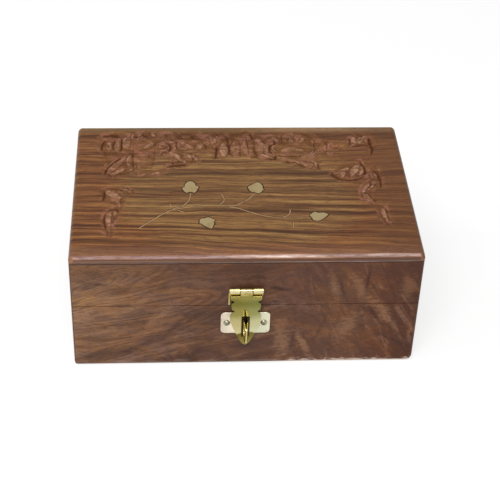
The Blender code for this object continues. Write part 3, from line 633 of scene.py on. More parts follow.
def close_below(surface):
    """Points and faces of the top, its skirt and the plug beneath, from the top's grid of points."""
    rows, columns, _ = surface.shape
    points = surface.reshape(-1, 3) * MM
    index = np.arange(rows * columns).reshape(rows, columns)
    corners = [index[:-1, :-1], index[1:, :-1], index[1:, 1:], index[:-1, 1:]]
    quads = np.stack(corners, axis=-1).reshape(-1, 4)
    rim = np.concatenate([index[:, 0], index[-1, 1:], index[-2::-1, -1], index[0, -2:0:-1]])
    edge = ring_below(points[rim], (1, 1), PANEL_BOTTOM_Z)
    inset = (PLUG_HALF_WIDTH / HALF_WIDTH, PLUG_HALF_DEPTH / HALF_DEPTH)
    plug = [ring_below(edge, inset, level) for level in (PANEL_BOTTOM_Z, PLUG_BOTTOM_Z)]
    skirt = np.concatenate([edge, *plug])
    rings = [rim, *(len(points) + np.arange(len(skirt)).reshape(3, -1))]
    faces = quads.tolist() + [rings[-1][::-1].tolist()]
    for upper, lower in zip(rings, rings[1:]):
        faces += [(upper[i - 1], lower[i - 1], lower[i], upper[i]) for i in range(len(rim))]
    return np.concatenate([points, skirt]), faces


def make_panel():
    """The lid's top panel with its carved border, and the plug beneath it."""
    surface, masks = panel_surface()
    points, faces = close_below(surface)
    mesh = bpy.data.meshes.new("carved_top")
    mesh.from_pydata(points.tolist(), [], faces)
    set_smooth(mesh)
    panel = new_object("carved_top", mesh)
    for name, mask in zip(("carved", "sunk", "pale"), masks):
        values = np.zeros(len(points))
        values[:mask.size] = mask.ravel()
        store(panel, name, values)
    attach(panel, "lid")
    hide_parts("lid_top_panel")
    return panel


def make_filler(node, spread, behind):
    """The dark filler round a piece of inlay: its own shape, a little wider, lower and further back."""
    filler = new_object(node.name + "_filler", node.data.copy())
    shape = bmesh.new()
    shape.from_mesh(filler.data)
    bmesh.ops.remove_doubles(shape, verts=shape.verts, dist=0.001 * MM)
    shape.normal_update()
    moves = []
    for point in shape.verts:
        out = Vector((0, 0, 0))
        for face in point.link_faces:
            if abs(face.normal.z) < 0.5:
                out += Vector((face.normal.x, face.normal.y, 0)).normalized()
        ragged = 1 + 0.5 * value_noise(np.array(point.co.x / MM), np.array(point.co.y / MM), 0.9, 0.9, 6)
        moves.append(out.normalized() * spread * float(ragged) * MM if out.length > 0 else out)
    for point, move in zip(shape.verts, moves):
        point.co += move
        # Set back, the filler's dark edge behind a stem is partly painted shade.
        point.co.y += behind * MM
        point.co.z -= FILLER_BELOW * MM
    shape.to_mesh(filler.data)
    shape.free()
    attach(filler, "lid")
    return filler


# -------- hasp and staple

HASP_X = -0.3
HASP_HALF = 7
HASP_DISH = 0.25
HASP_FLARE = 0.3
HASP_CROWN = 0.12
SHOULDER_Z = 41
CREASE_Z = 31
TIP_Z = 20.2
PLATE_HALF = 11
PLATE_CROWN = 0.12
LOOP_NOSE_Y = -56
LOOP_NOSE = 4
LOOP_SQUEEZE = 0.45


def bend_hasp(x, y, z):
    """Dish the hasp between its shoulder and its crease, and tip it out at its end."""
    upper = np.clip((z - CREASE_Z) / (SHOULDER_Z - CREASE_Z), 0, 1)
    dish = HASP_DISH * np.sin(np.pi * upper)
    flare = HASP_FLARE * np.clip((TIP_Z - z) / 6, 0, 1)
    crown = HASP_CROWN * (1 - np.clip(np.abs(x - HASP_X) / HASP_HALF, 0, 1)**2) * (z < SHOULDER_Z)
    return x, y - dish - flare - crown, z


def make_hasp():
    """The hasp leaf, from its CAD shape with worn edges and a dished face."""
    hasp = worn_copy("hasp_leaf", "hasp_plate", 0.14, 1)
    reshape(hasp, bend_hasp)
    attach(hasp, "hasp")
    return hasp


def crown_plate(x, y, z):
    """Bow the staple's plate out a little across its width."""
    return x, y - PLATE_CROWN * (1 - (x / PLATE_HALF)**2), z


def squeeze_loop(x, y, z):
    """Draw the loop's nose in."""
    nose = ease((LOOP_NOSE_Y - y) / LOOP_NOSE)
    return HASP_X + (x - HASP_X) * (1 - LOOP_SQUEEZE * nose), y, z


def make_staple():
    """The staple's plate and loop, with their edges rubbed round."""
    plate = worn_copy("staple_plate", "staple_backplate", 0.16, 2)
    reshape(plate, crown_plate)
    loop = worn_copy("staple_loop", "staple_eye", 0.12, 2)
    reshape(loop, squeeze_loop)
    for piece in (plate, loop):
        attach(piece, "base")
    return plate, loop


# -------- velvet

CLOTH_FRAMES = 20
CLOTH_PRESSURE = 3
PAD_CELL = 2.6
PAD_SWELL = 0.5
PAD_STANDS_PROUD = 0.4
PAD_RIM = 5
PAD_RIM_THINNED = 0.72
HOLLOW_HALF_WIDTH = 68
HOLLOW_HALF_DEPTH = 42
LINING_BACK = 0.7
LINING_PILE = 0.15


def swell(obj, limit_mm):
    """Blow a soft piece up a little with a cloth simulation, keeping each point within a limit."""
    scene = bpy.context.scene
    before = np.empty(3 * len(obj.data.vertices))
    obj.data.vertices.foreach_get("co", before)
    cloth = add_modifier(obj, "CLOTH")
    cloth.settings.use_pressure = True
    cloth.settings.uniform_pressure_force = CLOTH_PRESSURE
    cloth.settings.effector_weights.gravity = 0
    cloth.settings.quality = 4
    for step in range(1, CLOTH_FRAMES + 1):
        scene.frame_set(step)
    apply_modifiers(obj)
    scene.frame_set(1)
    after = np.empty_like(before)
    obj.data.vertices.foreach_get("co", after)
    moved = (after - before).reshape(-1, 3)
    far = np.maximum(np.linalg.norm(moved, axis=1, keepdims=True) / (limit_mm * MM), 1)
    obj.data.vertices.foreach_set("co", (before.reshape(-1, 3) + moved / far).ravel())
    obj.data.update()


def pad_form(low, high):
    """A closed slab in even square cells, thinner round its rim."""
    size = high - low
    nx, ny = round(size.x / PAD_CELL), round(size.y / PAD_CELL)
    shape = bmesh.new()
    for side in (1, -1):
        grid = bmesh.ops.create_grid(shape, x_segments=nx, y_segments=ny, size=0.5)["verts"]
        for point in grid:
            edge = min(0.5 - abs(point.co.x), 0.5 - abs(point.co.y))
            thinned = PAD_RIM_THINNED * (1 - ease(edge * size.y / PAD_RIM))
            point.co.z = side * 0.5 * (1 - thinned)
    for point in shape.verts:
        point.co = point.co * size + (low + high) / 2
    rims = [edge for edge in shape.edges if edge.is_boundary]
    bmesh.ops.bridge_loops(shape, edges=rims)
    bmesh.ops.recalc_face_normals(shape, faces=shape.faces)
    bmesh.ops.scale(shape, vec=(MM, MM, MM), verts=shape.verts)
    return shape


def make_pad(name, node, body, seed):
    """A thin velvet cushion, swollen by simulation and left a little uneven."""
    low, high = (Vector(corner / MM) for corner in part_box(node))
    shape = pad_form(low, high)
    mesh = bpy.data.meshes.new(name)
    shape.to_mesh(mesh)
    shape.free()
    pad = new_object(name, mesh)
    swell(pad, PAD_SWELL)
    centre_z = (low.z + high.z) / 2

    def settle(x, y, z):
        uneven = 0.12 * value_noise(x, y, 9, 7, seed) + 0.05 * value_noise(x, y, 3.1, 2.7, seed + 1)
        inner = np.clip(z + uneven * np.sign(z - centre_z), low.z, high.z + PAD_STANDS_PROUD)
        return np.clip(x, low.x, high.x), np.clip(y, low.y, high.y), inner
    reshape(pad, settle)
    add_modifier(pad, "SUBSURF", levels=1, render_levels=1)
    set_smooth(pad.data)
    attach(pad, body)
    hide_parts(node)
    return pad


def make_lining(name, node, body, seed):
    """Velvet stretched round the walls, softly puckered, with its edges rounded."""
    lining = worn_copy(node, name, 0.7, 2)

    def pucker(x, y, z):
        along = np.arctan2(y / HOLLOW_HALF_DEPTH, x / HOLLOW_HALF_WIDTH) * 60
        deep = 0.16 * value_noise(along, z, 5, 9, seed) + 0.06 * value_noise(along, z, 1.7, 3, seed + 1)
        on_end = np.abs(x) / HOLLOW_HALF_WIDTH > np.abs(y) / HOLLOW_HALF_DEPTH
        inner = ((np.abs(x) < HOLLOW_HALF_WIDTH - LINING_BACK)
                 & (np.abs(y) < HOLLOW_HALF_DEPTH - LINING_BACK))
        inward = (deep + LINING_PILE) * inner
        return x - np.sign(x) * on_end * inward, y - np.sign(y) * ~on_end * inward, z
    reshape(lining, pucker)
    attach(lining, body)
    return lining


# -------- wood

def pore_field(shade, along, shift=(0, 0, 0)):
    """Short dark pores along the grain: 0 for none, 1 inside one."""
    long, thin = 0.3, 2.4
    scale = {"X": (long, thin, thin), "Y": (thin, long, thin)}[along]
    return shade.fade(shade.noise(scale, 2, 0.6, shift=shift), 0.56, 0.68)


# The lid's dark streaks, front to back: (y where x is -20, darkness).
TOP_STREAKS = [(-46, 0.35), (-42.3, 1), (-37, 0.4), (-33.2, 0.35), (-30.3, 1), (-25.5, 0.35),
               (-22, 0.6), (-16.3, 1), (-11.8, 0.6), (-7.2, 0.4), (-1.6, 0.8), (4.8, 0.4),
               (10.2, 1), (18, 0.2), (30, 0.2), (39.8, 0.8)]

STRAW = "#a27c4a"
GOLD = "#906b3c"
TAN = "#7e5832"
BROWN = "#5a371d"
UMBER = "#3b1f0c"
JOINT_SHADE = "#22100a"


def streak_ramp(shade, across):
    """Darkness over the lid's depth, from its list of streaks."""
    stops = [(centre, (dark, dark, dark, 1)) for centre, dark in TOP_STREAKS]
    gaps = [(a[0] + b[0]) / 2 for a, b in zip(TOP_STREAKS, TOP_STREAKS[1:])]
    stops += [(gap, (0, 0, 0, 1)) for gap in gaps]
    return shade.ramp(across, stops, -50, 50)


def top_grain(shade):
    """Golden wood with wavy dark streaks: its tone, its bands and its fibres."""
    wobble = shade.noise((0.02, 0.03, 0.05), 3, 0.55)
    lean_y = shade.math("MAXIMUM", shade.math("SUBTRACT", 12, shade.y), 0)
    lean = shade.times(shade.add(shade.x, 20), lean_y, 0.0016)
    across = shade.add(shade.y, lean, shade.sway(wobble, 6))
    grain_at = shade.vector(shade.x, across, 0)

    streaks = streak_ramp(shade, across)
    strength = shade.fade(shade.noise((0.02, 0.1, 0.1), 2, shift=(5, 0, 0)), 0.3, 0.62, 0.35, 1)
    bands = shade.noise((0.014, 0.42, 0.3), 5, 0.68, at=grain_at)
    lines = shade.noise((0.02, 0.75, 0.3), 3, 0.6, shift=(1, 4, 0), at=grain_at)
    fibres = shade.noise((0.1, 2, 2), 4, 0.8, at=grain_at)

    tone = shade.ramp(bands, [(0.38, BROWN), (0.48, TAN), (0.56, GOLD), (0.68, STRAW)])
    tone = shade.mix(shade.fade(lines, 0.36, 0.46, 0.65, 0), tone, UMBER)
    tone = shade.mix(shade.times(streaks, strength, 0.85), tone, UMBER)
    tone = shade.mix(shade.fade(fibres, 0.36, 0.56, 0.5, 0), tone, UMBER)
    return tone, bands, fibres


def handled_top(shade, tone):
    """The top redder towards its edges, rubbed lighter along its front, and lighter along its back with
    a painted reflection.
    """
    off_x = shade.math("POWER", shade.times(shade.off(shade.x, -2), 1 / 54), 3)
    off_y = shade.math("POWER", shade.times(shade.off(shade.y, -4), 1 / 38), 3)
    drift = shade.noise((0.03, 0.05, 0.05), 3, shift=(0, 9, 0))
    spread = shade.add(off_x, off_y, shade.sway(drift, 1.4))
    reddened = shade.mix(1, tone, "#f0d0c4", "MULTIPLY")
    tone = shade.mix(shade.fade(spread, 0.5, 1.4, 0, 0.8), tone, reddened)
    rubbed_front = shade.fade(shade.add(shade.y, shade.times(drift, 6)), -47, -36, 0.22, 0)
    tone = shade.mix(rubbed_front, tone, "#b28468")
    # Painted reflection along the back edge, strongest towards the right.
    back_edge_reflection = shade.mix(shade.fade(shade.x, 0, 24), "#7e623e", "#9e805c")
    tone = shade.mix(shade.fade(shade.y, 43, 46.5, 0, 0.55), tone, back_edge_reflection)
    right = shade.fade(shade.add(shade.x, shade.times(drift, 30)), 64, 83, 0, 0.5)
    return shade.mix(right, tone, BROWN)


def carved_top(shade, tone, carved, chips):
    """Redder wood where the top is carved, paler on the ridges with painted highlight and partly rubbed
    wear, and dark in the cuts and round the leaves with painted shade and partly dirt.
    """
    flush = shade.noise((0.2, 0.24, 0.2), 3, 0.6, shift=(4, 2, 0))
    fresh = shade.ramp(flush, [(0.36, "#5a3a24"), (0.5, "#734f36"), (0.6, "#906250")])
    fresh = shade.mix(shade.fade(chips, 0.36, 0.5, 0.45, 0), fresh, "#462618")
    tone = shade.mix(shade.times(carved, 0.62), tone, fresh)
    # Painted highlight, partly rubbed wear, on the carved ridges.
    rub = shade.times(shade.attribute("pale"), shade.fade(chips, 0.4, 0.62, 0.1, 0.7))
    tone = shade.mix(rub, tone, "#b89076")
    # Painted shade, partly dirt, in the cuts and round the leaves.
    return shade.mix(shade.times(shade.attribute("sunk"), 0.88), tone, "#44200f")


def painted_edge_highlight(shade, tone):
    """The rounded front edge's painted highlight: dull at the left and pale at the right, over a thin
    dark line.
    """
    facing = shade.times(shade.split(shade.normal)[1], -1)
    between_ends = shade.fade(shade.off(shade.x), 73.4, 74.6, 1, 0)
    front = shade.times(shade.fade(shade.y, -47.4, -46.4, 1, 0), between_ends)
    # Noise that varies the painted highlight along the edge.
    rubbed = shade.noise((0.05, 0.5, 0.5), 4, 0.6, shift=(2, 3, 4))
    pale = shade.ramp(rubbed, [(0.36, "#7c6058"), (0.5, "#a4887e"), (0.64, "#d6c4be")])
    dull = shade.mix(1, pale, "#c4bace", "MULTIPLY")
    worn = shade.mix(shade.fade(shade.x, -30, 10), dull, pale)
    bright = shade.fade(shade.off(shade.x, 38), 18, 60, 0.9, 0.45)
    # The highlight is painted where the rounding faces partly up and partly forward, brighter towards
    # the right.
    rim = shade.times(shade.fade(facing, 0.2, 0.5), shade.fade(facing, 0.75, 0.93, 1, 0))
    tone = shade.mix(shade.times(rim, bright, front), tone, worn)
    strip = shade.mix(shade.fade(shade.x, -40, 0), "#6c4e3c", "#543727")
    tone = shade.mix(shade.times(shade.fade(facing, 0.94, 0.99), front), tone, strip)
    groove = shade.times(shade.fade(facing, 0.9, 0.95), shade.fade(facing, 0.965, 0.995, 1, 0))
    return shade.mix(shade.times(groove, 0.7, front), tone, "#3c1e14")


def make_top_wood():
    """The lid's top: streaky golden wood, carved, rubbed along its front, with a painted highlight on
    its front edge, a painted reflection along its back, and a dark joint beneath that is partly painted
    shade.
    """
    shade = Shade("top_wood")
    pores = pore_field(shade, "X")
    carved = shade.attribute("carved")
    chips = shade.noise((0.5, 0.6, 0.5), 4, 0.7)
    tone, bands, fibres = top_grain(shade)
    tone = handled_top(shade, tone)
    tone = shade.mix(shade.times(pores, 0.5), tone, UMBER)
    tone = carved_top(shade, tone, carved, chips)
    tone = painted_edge_highlight(shade, tone)
    # Dark joint at the panel's foot, partly painted shade.
    tone = shade.mix(shade.fade(shade.z, PANEL_BOTTOM_Z, 58.5, 0.6, 0), tone, JOINT_SHADE)

    relief = shade.add(shade.times(fibres, 0.5), shade.times(pores, -1), shade.times(carved, chips, 2))
    rough = shade.add(shade.times(carved, 0.35), shade.fade(bands, 0.3, 0.7, 0.36, 0.48))
    gloss = shade.add(shade.times(carved, -0.22), 0.33)
    return shade.finish(tone, rough, relief, 0.06, Specular_IOR_Level=gloss)


FRONT_TONES = [(-76, "#8e6c4c"), (-60, "#826044"), (-42, "#74543b"),
               (-28, "#72513a"), (-14, "#654631"), (2, "#593c2b"),
               (14, "#5f402d"), (26, "#5c3c2a"), (38, "#62412b"),
               (50, "#603c25"), (62, "#573119"), (76, "#482510")]
SAPWOOD_LEAN = 0.9
GROWTH_RINGS = 150.0

# Figure on the front: (x, z, half length, half width, degrees from level, strength).
DARK_FIGURE = [(5, 50, 5.5, 1.7, 5, 0.7), (14, 43.5, 5.5, 1.4, -12, 0.8), (12, 36.5, 2, 0.8, 0, 0.6),
               (52, 46, 13, 1.1, 86, 0.7), (56, 29, 9, 1.2, -60, 0.6), (67, 18, 12, 0.9, -38, 0.5),
               (66, 13, 11, 0.8, -30, 0.5), (29, 44, 16, 1, -70, 0.35), (42, 42, 16, 1, -72, 0.3),
               (-16, 30, 16, 12, 0, 0.25), (21, 14, 13, 1, 82, 0.4), (33, 20, 14, 1.2, 70, 0.3),
               (-36, 45, 4, 2.4, 30, 0.45), (-64, 47, 9, 1, -8, 0.5), (-66, 53, 9, 2.4, 0, 0.4),
               (-50, 31, 8, 0.8, 25, 0.4), (-63, 24, 7, 0.8, -6, 0.4), (-30, 24, 12, 1.4, 50, 0.4),
               (-22, 8, 10, 3, 70, 0.3), (-58, 7, 18, 3, 8, 0.35), (-2, 54, 16, 3, 0, 0.35)]
LIGHT_FIGURE = [(-71, 29, 7, 6, -10, 0.6), (-60, 38, 14, 3, 12, 0.3), (-62, 20, 14, 2.4, 12, 0.35),
                (-46, 36, 14, 2.6, 42, 0.3), (-40, 26, 13, 2.2, 50, 0.25), (16, 14, 13, 4.6, -84, 0.4),
                (26, 11, 10, 2.2, -62, 0.45), (60, 30, 12, 3.2, -58, 0.4), (49, 44, 12, 3, -68, 0.35),
                (70, 44, 10, 4, 84, 0.2), (38, 44, 11, 2.6, -76, 0.3), (45, 22, 11, 5, 60, 0.35)]


def front_clouds(shade, shift, cloud, slant):
    """Heartwood that darkens from left to right, with wisps, growth rings and a faint blush."""
    level = shade.noise((0.032, 0.2, 0.2), 5, 0.6, 0.9, shift, shade.turned(16))
    steep = shade.noise((0.05, 0.2, 0.2), 4, 0.62, 1, shift, shade.turned(-64))
    right = shade.fade(shade.x, 2, 36)
    wisp = shade.add(shade.times(level, shade.math("SUBTRACT", 1, right)), shade.times(steep, right))
    growth = shade.noise((0.011, 0.05, 0.05), 2, 0.45, 0.5, shift, shade.turned(16))
    rings = shade.fade(shade.math("SINE", shade.times(growth, GROWTH_RINGS)), -0.2, 1)
    leaning = shade.fade(shade.x, -30, 0, SAPWOOD_LEAN, 0)
    boundary = shade.times(shade.add(shade.z, -34), leaning, -1)
    warped = shade.add(shade.x, boundary, shade.sway(cloud, 40))

    tone = shade.ramp(warped, FRONT_TONES, -76, 76)
    tone = shade.mix(shade.fade(wisp, 0.36, 0.54, 0.4, 0), tone, "#361d13")
    tone = shade.mix(shade.fade(wisp, 0.53, 0.66, 0, 0.35), tone, "#96745a")
    tone = shade.mix(shade.fade(cloud, 0.5, 0.72, 0, 0.35), tone, "#8c6244")
    tone = shade.mix(shade.times(rings, shade.fade(shade.x, -10, 30, 0.4, 0.12)), tone, "#3c2218")
    blush = shade.noise((0.07, 0.1, 0.12), 3, 0.6, shift=(3, 8, 5), at=slant)
    tint = shade.ramp(blush, [(0.4, "#ece8f4"), (0.6, "#fff2de")])
    return shade.mix(1, tone, tint, "MULTIPLY")


def front_figure(shade, tone):
    """The front's dark and light figure, and its dimmer top."""
    broken = shade.noise((0.25, 0.5, 0.6), 5, 0.75)
    ragged = shade.times(shade.add(broken, -0.45), 3.2)
    for figures, colour in ((DARK_FIGURE, "#2a140d"), (LIGHT_FIGURE, "#926c4e")):
        for at_x, at_z, long, wide, degrees, strength in figures:
            mask = shade.smudge((at_x, at_z), (long, wide), degrees, ragged)
            tone = shade.mix(shade.times(mask, strength), tone, colour)
    dim = shade.times(shade.fade(shade.z, 40, 56, 0, 0.5), shade.fade(shade.x, -40, 20, 1, 0.5))
    return shade.mix(dim, tone, "#4a2a1c")


def front_edges(shade, tone, shift):
    """End grain on the board's ends, a pale rubbed foot, and the dark joint under the top, partly
    painted shade.
    """
    end = shade.fade(shade.off(shade.split(shade.normal)[0]), 0.5, 0.8)
    cells = shade.noise((0.5, 0.35, 1.4), 5, 0.7, shift=shift)
    end_tone = shade.ramp(cells, [(0.3, "#341a0e"), (0.55, "#54321e"), (0.75, "#6c462c")])
    tone = shade.mix(end, tone, end_tone)
    foot = shade.noise((0.08, 0.5, 0.5), 4, 0.7, shift=(7, 1, 1))
    low_edge = shade.add(shade.z, shade.sway(foot, 9))
    rub = shade.times(shade.fade(low_edge, 1.3, 2.2, 0.75, 0), shade.fade(shade.x, 8, 26, 0.15, 1),
                      shade.math("SUBTRACT", 1, end))
    tone = shade.mix(rub, tone, "#c8b6a8")
    # Dark joint under the top, partly painted shade.
    return shade.mix(shade.fade(shade.z, 57.3, 57.7, 0, 0.6), tone, JOINT_SHADE)


def make_front_wood(name, shift, figured):
    """Cloudy heartwood, with the figure running through lid and base alike."""
    shade = Shade(name)
    slant = shade.vector(shade.add(shade.x, shade.times(shade.z, 0.35)), shade.y,
                         shade.add(shade.z, shade.times(shade.x, 0.12)))
    cloud = shade.noise((0.05, 0.1, 0.09), 5, 0.6, distortion=0.8, shift=shift, at=slant)
    fibres = shade.noise((0.22, 2.2, 2.2), 4, 0.8, shift=shift)
    pores = pore_field(shade, "X", shift)
    tone = front_clouds(shade, shift, cloud, slant)
    if figured:
        tone = front_figure(shade, tone)
    tone = shade.mix(shade.fade(fibres, 0.36, 0.58, 0.28, 0), tone, "#301910")
    tone = shade.mix(shade.times(pores, 0.5), tone, "#24110b")
    tone = front_edges(shade, tone, shift)
    relief = shade.add(shade.times(fibres, 0.5), shade.times(pores, -1))
    rough = shade.fade(cloud, 0.3, 0.7, 0.4, 0.52)
    return shade.finish(tone, rough, relief, 0.08, Specular_IOR_Level=0.2)


def make_side_wood(name, shift):
    """The end boards: grain along the depth."""
    shade = Shade(name)
    cloud = shade.noise((0.1, 0.03, 0.09), 4, 0.6, distortion=0.5, shift=shift)
    bands = shade.noise((0.3, 0.014, 0.35), 4, 0.6, distortion=0.4, shift=shift)
    fibres = shade.noise((2.6, 0.1, 2.6), 3, 0.7, shift=shift)
    pores = pore_field(shade, "Y", shift)
    tone = shade.ramp(bands, [(0.3, "#482a18"), (0.48, "#64422a"), (0.66, "#805a3a")])
    tone = shade.mix(shade.fade(cloud, 0.4, 0.7, 0, 0.5), tone, "#5c3826")
    tone = shade.mix(shade.fade(fibres, 0.35, 0.65, 0.3, 0), tone, "#361e12")
    tone = shade.mix(shade.times(pores, 0.5), tone, "#2a160e")
    relief = shade.add(shade.times(fibres, 0.5), shade.times(pores, -1))
    return shade.finish(tone, 0.42, relief, 0.06, Specular_IOR_Level=0.35)


# -------- brass and velvet finishes

def make_brass(name, colour, roughness, tarnish, tarnish_share):
    """Sheet brass with fine scratches and patches of tarnish."""
    shade = Shade(name)
    patches = shade.noise((0.25, 0.25, 0.25), 4, 0.6, distortion=0.6)
    scratches = shade.scratches()
    tone = shade.mix(shade.fade(patches, 0.42, 0.7, 0, tarnish_share), colour, tarnish)
    rough = shade.add(shade.fade(patches, 0.4, 0.7, roughness, roughness + 0.12),
                      shade.fade(scratches, 0.4, 0.7, 0, 0.05))
    return shade.finish(tone, rough, scratches, 0.01, Metallic=1)


def make_barrel_brass():
    """The hasp's hinge: a painted cream highlight along the barrel, golden on the leaf beneath it, with
    painted shade on that leaf behind the hasp's edge.
    """
    shade = Shade("barrel_brass")
    patches = shade.noise((0.3, 0.3, 0.3), 4, 0.6)
    scratches = shade.scratches()
    drift = shade.sway(patches, 1.2)
    stops = [(36, "#d6c488"), (41.4, "#c2ac62"), (42.4, "#b6a05a"), (43.6, "#d0c69c"), (45.2, "#c2b684")]
    tone = shade.ramp(shade.add(shade.z, drift), stops, 34, 46)
    # Painted shade on the fixed leaf, behind the hasp's left edge.
    behind = shade.times(shade.fade(shade.x, -7.7, -7.3), shade.fade(shade.z, 40.4, 41, 1, 0))
    tone = shade.mix(shade.times(behind, 0.85), tone, "#382c12")
    return shade.finish(tone, shade.fade(patches, 0.4, 0.7, 0.24, 0.34), scratches, 0.004, Metallic=1)


def make_plate_brass():
    """The staple's plate: pale, greenish to the right, and with painted shade round the loop."""
    shade = Shade("plate_brass")
    patches = shade.noise((0.3, 0.3, 0.3), 4, 0.65, distortion=0.5)
    scratches = shade.scratches()
    drift = shade.sway(patches, 7)
    stops = [(-11, "#d6c8b2"), (-6, "#eae0c8"), (5, "#ced0b2"), (11, "#dedabe")]
    tone = shade.ramp(shade.add(shade.x, drift), stops, -12, 12)
    tone = shade.mix(shade.fade(patches, 0.5, 0.68, 0, 0.5), tone, "#a8a07c")
    # Painted shade on the plate round the loop and under the hasp's slot.
    shade_by_loop = shade.fade(shade.off(shade.x, HASP_X), 2.6, 4.6, 0.9, 0)
    tone = shade.mix(shade_by_loop, tone, "#342c12")
    return shade.finish(tone, shade.fade(patches, 0.4, 0.7, 0.3, 0.45), scratches, 0.01, Metallic=1)


def make_hasp_brass():
    """The hasp's polished brass, with painted reflections and shade: pale across the middle, olive
    towards the barrel and at the tip.
    """
    shade = Shade("hasp_brass")
    patches = shade.noise((0.2, 0.2, 0.2), 4, 0.6)
    drift = shade.sway(patches, 5)
    # Painted reflections and shade by height: olive near the barrel and at the tip, pale across the
    # middle, dark at the tip's bend.
    stops = [(14, "#8c8446"), (19.8, "#706832"), (20.6, "#ccc8a0"),
             (26, "#beba8e"), (32, "#929056"), (38, "#76763e"),
             (41.4, "#968c4e"), (42.4, "#beac68"), (43.6, "#cec08e"),
             (45.2, "#b4a468")]
    tone = shade.ramp(shade.add(shade.z, drift), stops, 12, 46)
    # A warmer painted reflection on the left, below the barrel.
    tan = shade.mix(1, tone, "#faeedc", "MULTIPLY")
    left = shade.times(shade.fade(shade.add(shade.x, drift), -3, 3, 1, 0),
                       shade.fade(shade.z, 40, 41.5, 1, 0))
    tone = shade.mix(left, tone, tan)
    rough = shade.fade(patches, 0.4, 0.7, 0.1, 0.2)
    scratches = shade.scratches((0.6, 3, 6))
    return shade.finish(tone, rough, scratches, 0.006, Metallic=1)


def make_filler_finish():
    """Dark resin with a dull, slightly pitted surface."""
    shade = Shade("filler")
    pits = shade.noise((1.4, 1.4, 1.4), 3, 0.7)
    tone = shade.ramp(pits, [(0.35, "#24140a"), (0.65, "#422814")])
    return shade.finish(tone, 0.6, pits, 0.05, Specular_IOR_Level=0.3)


def make_velvet():
    """Short-pile velvet."""
    shade = Shade("velvet")
    brushed = shade.noise((0.05, 0.09, 0.09), 3, 0.6)
    pile = shade.noise((4, 4, 4), 2, 0.8)
    tone = shade.ramp(brushed, [(0.3, "#680a14"), (0.55, "#7a0e1a"), (0.75, "#8a1521")])
    return shade.finish(tone, 0.95, pile, 0.15, Specular_IOR_Level=0.1, Sheen_Weight=0.7,
                        Sheen_Roughness=0.35, Sheen_Tint="#e67882")


# -------- dressing

def make_finishes():
    """The finishes that CAD pieces take, by what they go on."""
    return {
        "front_board": make_front_wood("front_wood", (0, 0, 0), True),
        "back_board": make_front_wood("back_wood", (31, 7, 13), False),
        "left_board": make_side_wood("left_wood", (3, 5, 8)),
        "right_board": make_side_wood("right_wood", (17, 2, 4)),
        "bottom_board": make_side_wood("bottom_wood", (9, 21, 2)),
        "hardware": make_brass("polished_brass", "#decc8a", 0.18, "#a89658", 0.6),
        "inlay_leaf": make_brass("inlay_brass", "#dcc696", 0.5, "#b69e6c", 0.8),
        "inlay_stem": make_brass("stem_brass", "#ecc694", 0.45, "#be966a", 0.8),
        "screw": make_brass("screw_metal", "#b0ae96", 0.35, "#68644a", 0.9),
        "barrel": make_barrel_brass(),
    }


def dress_nodes(finishes):
    """Give every CAD piece its finish, and the inlay its dark filler."""
    filler = make_filler_finish()
    for name, node in NODES.items():
        if name.endswith("_board"):
            dress(node, finishes[name.split("_", 1)[1]])
            add_modifier(node, "BEVEL", width=0.2 * MM, segments=2, limit_method="ANGLE")
        elif name.startswith("inlay"):
            leaf = name[-1].isdigit() and "leaf" in name
            dress(node, finishes["inlay_leaf" if leaf else "inlay_stem"])
            dress(make_filler(node, *(LEAF_FILLER if leaf else STEM_FILLER)), filler)
        elif name.startswith("staple_screw"):
            dress(node, finishes["screw"])
        elif name in ("hasp_fixed_leaf", "hasp_pin"):
            dress(node, finishes["barrel"])
        else:
            dress(node, finishes["hardware"])


def dress_all():
    """Finish every CAD piece, and put finer shapes in place of those that need them."""
    finishes = make_finishes()
    dress_nodes(finishes)
    dress(make_panel(), make_top_wood())
    dress(make_hasp(), make_hasp_brass())
    plate, loop = make_staple()
    dress(plate, make_plate_brass())
    dress(loop, finishes["hardware"])
    velvet = make_velvet()
    dress(make_pad("floor_cushion", "base_floor_pad", "base", 21), velvet)
    dress(make_pad("lid_cushion", "lid_top_pad", "lid", 31), velvet)
    dress(make_lining("base_velvet_wall", "base_wall_lining", "base", 41), velvet)
    dress(make_lining("lid_velvet_wall", "lid_wall_lining", "lid", 51), velvet)


# -------- stage

CAMERA_AT = Vector((-34.6, -497.7, 422.6)) * MM
CAMERA_TURN = math.radians(4.49)
CAMERA_DROP = math.radians(38.53)
CAMERA_ROLL = math.radians(2.29)
CAMERA_LENS = 98.1


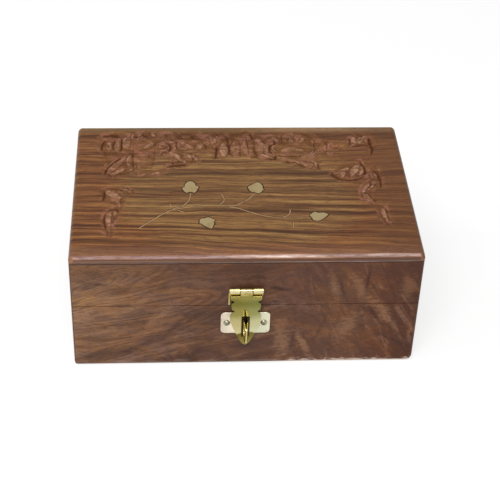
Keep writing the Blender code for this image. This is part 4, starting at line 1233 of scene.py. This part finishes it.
def make_camera():
    """A longish lens, above and a little to the left of the box."""
    data = bpy.data.cameras.new("camera")
    data.lens = CAMERA_LENS
    data.sensor_width = 36
    camera = bpy.data.objects.new("camera", data)
    bpy.context.scene.collection.objects.link(camera)
    aim = (Matrix.Rotation(-CAMERA_TURN, 4, "Z") @ Matrix.Rotation(math.pi / 2 - CAMERA_DROP, 4, "X")
           @ Matrix.Rotation(CAMERA_ROLL, 4, "Z"))
    camera.matrix_world = Matrix.Translation(CAMERA_AT) @ aim
    bpy.context.scene.camera = camera


FLOOR_GREY = 0.3
FLOOR_GLOW = 0.68
ROOM_FRONT = 0.55
ROOM_BACK = 0.4


def make_floor():
    """A wide pale floor just under the box, glowing faintly so that no hard shadow is left."""
    shape = bmesh.new()
    bmesh.ops.create_grid(shape, x_segments=1, y_segments=1, size=4)
    mesh = bpy.data.meshes.new("floor")
    shape.to_mesh(mesh)
    shape.free()
    floor = new_object("floor", mesh)
    floor.location.z = -0.2 * MM
    shade = Shade("floor")
    dress(floor, shade.finish((FLOOR_GREY,) * 3 + (1,), 0.9, Specular_IOR_Level=0.0,
                              Emission_Color=(1, 1, 1, 1), Emission_Strength=FLOOR_GLOW))


def add_softbox(name, at, size, power):
    """A square area light aimed at the middle of the box."""
    data = bpy.data.lights.new(name, "AREA")
    data.shape = "SQUARE"
    data.size = size
    data.energy = power
    lamp = bpy.data.objects.new(name, data)
    lamp.location = at
    aim = Vector((0, 0, 0.03)) - Vector(at)
    lamp.rotation_euler = aim.to_track_quat("-Z", "Y").to_euler()
    bpy.context.scene.collection.objects.link(lamp)


def make_room():
    """A white room that lights dimly, and less from behind the box, so that its top has no glare."""
    world = bpy.data.worlds.new("room")
    world.use_nodes = True
    graph = Graph(world.node_tree)
    direction = graph.split(graph.node("TexCoord", {}).outputs["Generated"])
    lit = graph.fade(direction[1], -0.2, 0.5, ROOM_FRONT, ROOM_BACK)
    seen = graph.node("LightPath", {}).outputs["Is Camera Ray"]
    backdrop = graph.tree.nodes["Background"].inputs
    graph.feed(backdrop["Strength"], graph.math("MAXIMUM", lit, seen))
    graph.feed(backdrop["Color"], "#ffffff")
    bpy.context.scene.world = world


def make_lights():
    """Soft studio light: a big box above and in front, and a smaller one high on the left."""
    add_softbox("key", (-0.15, -0.75, 1.0), 0.8, 14)
    add_softbox("side", (-0.9, -0.1, 0.9), 0.6, 4)
    make_room()
    bpy.context.scene.view_settings.view_transform = "Standard"


dress_all()
make_floor()
make_lights()
make_camera()
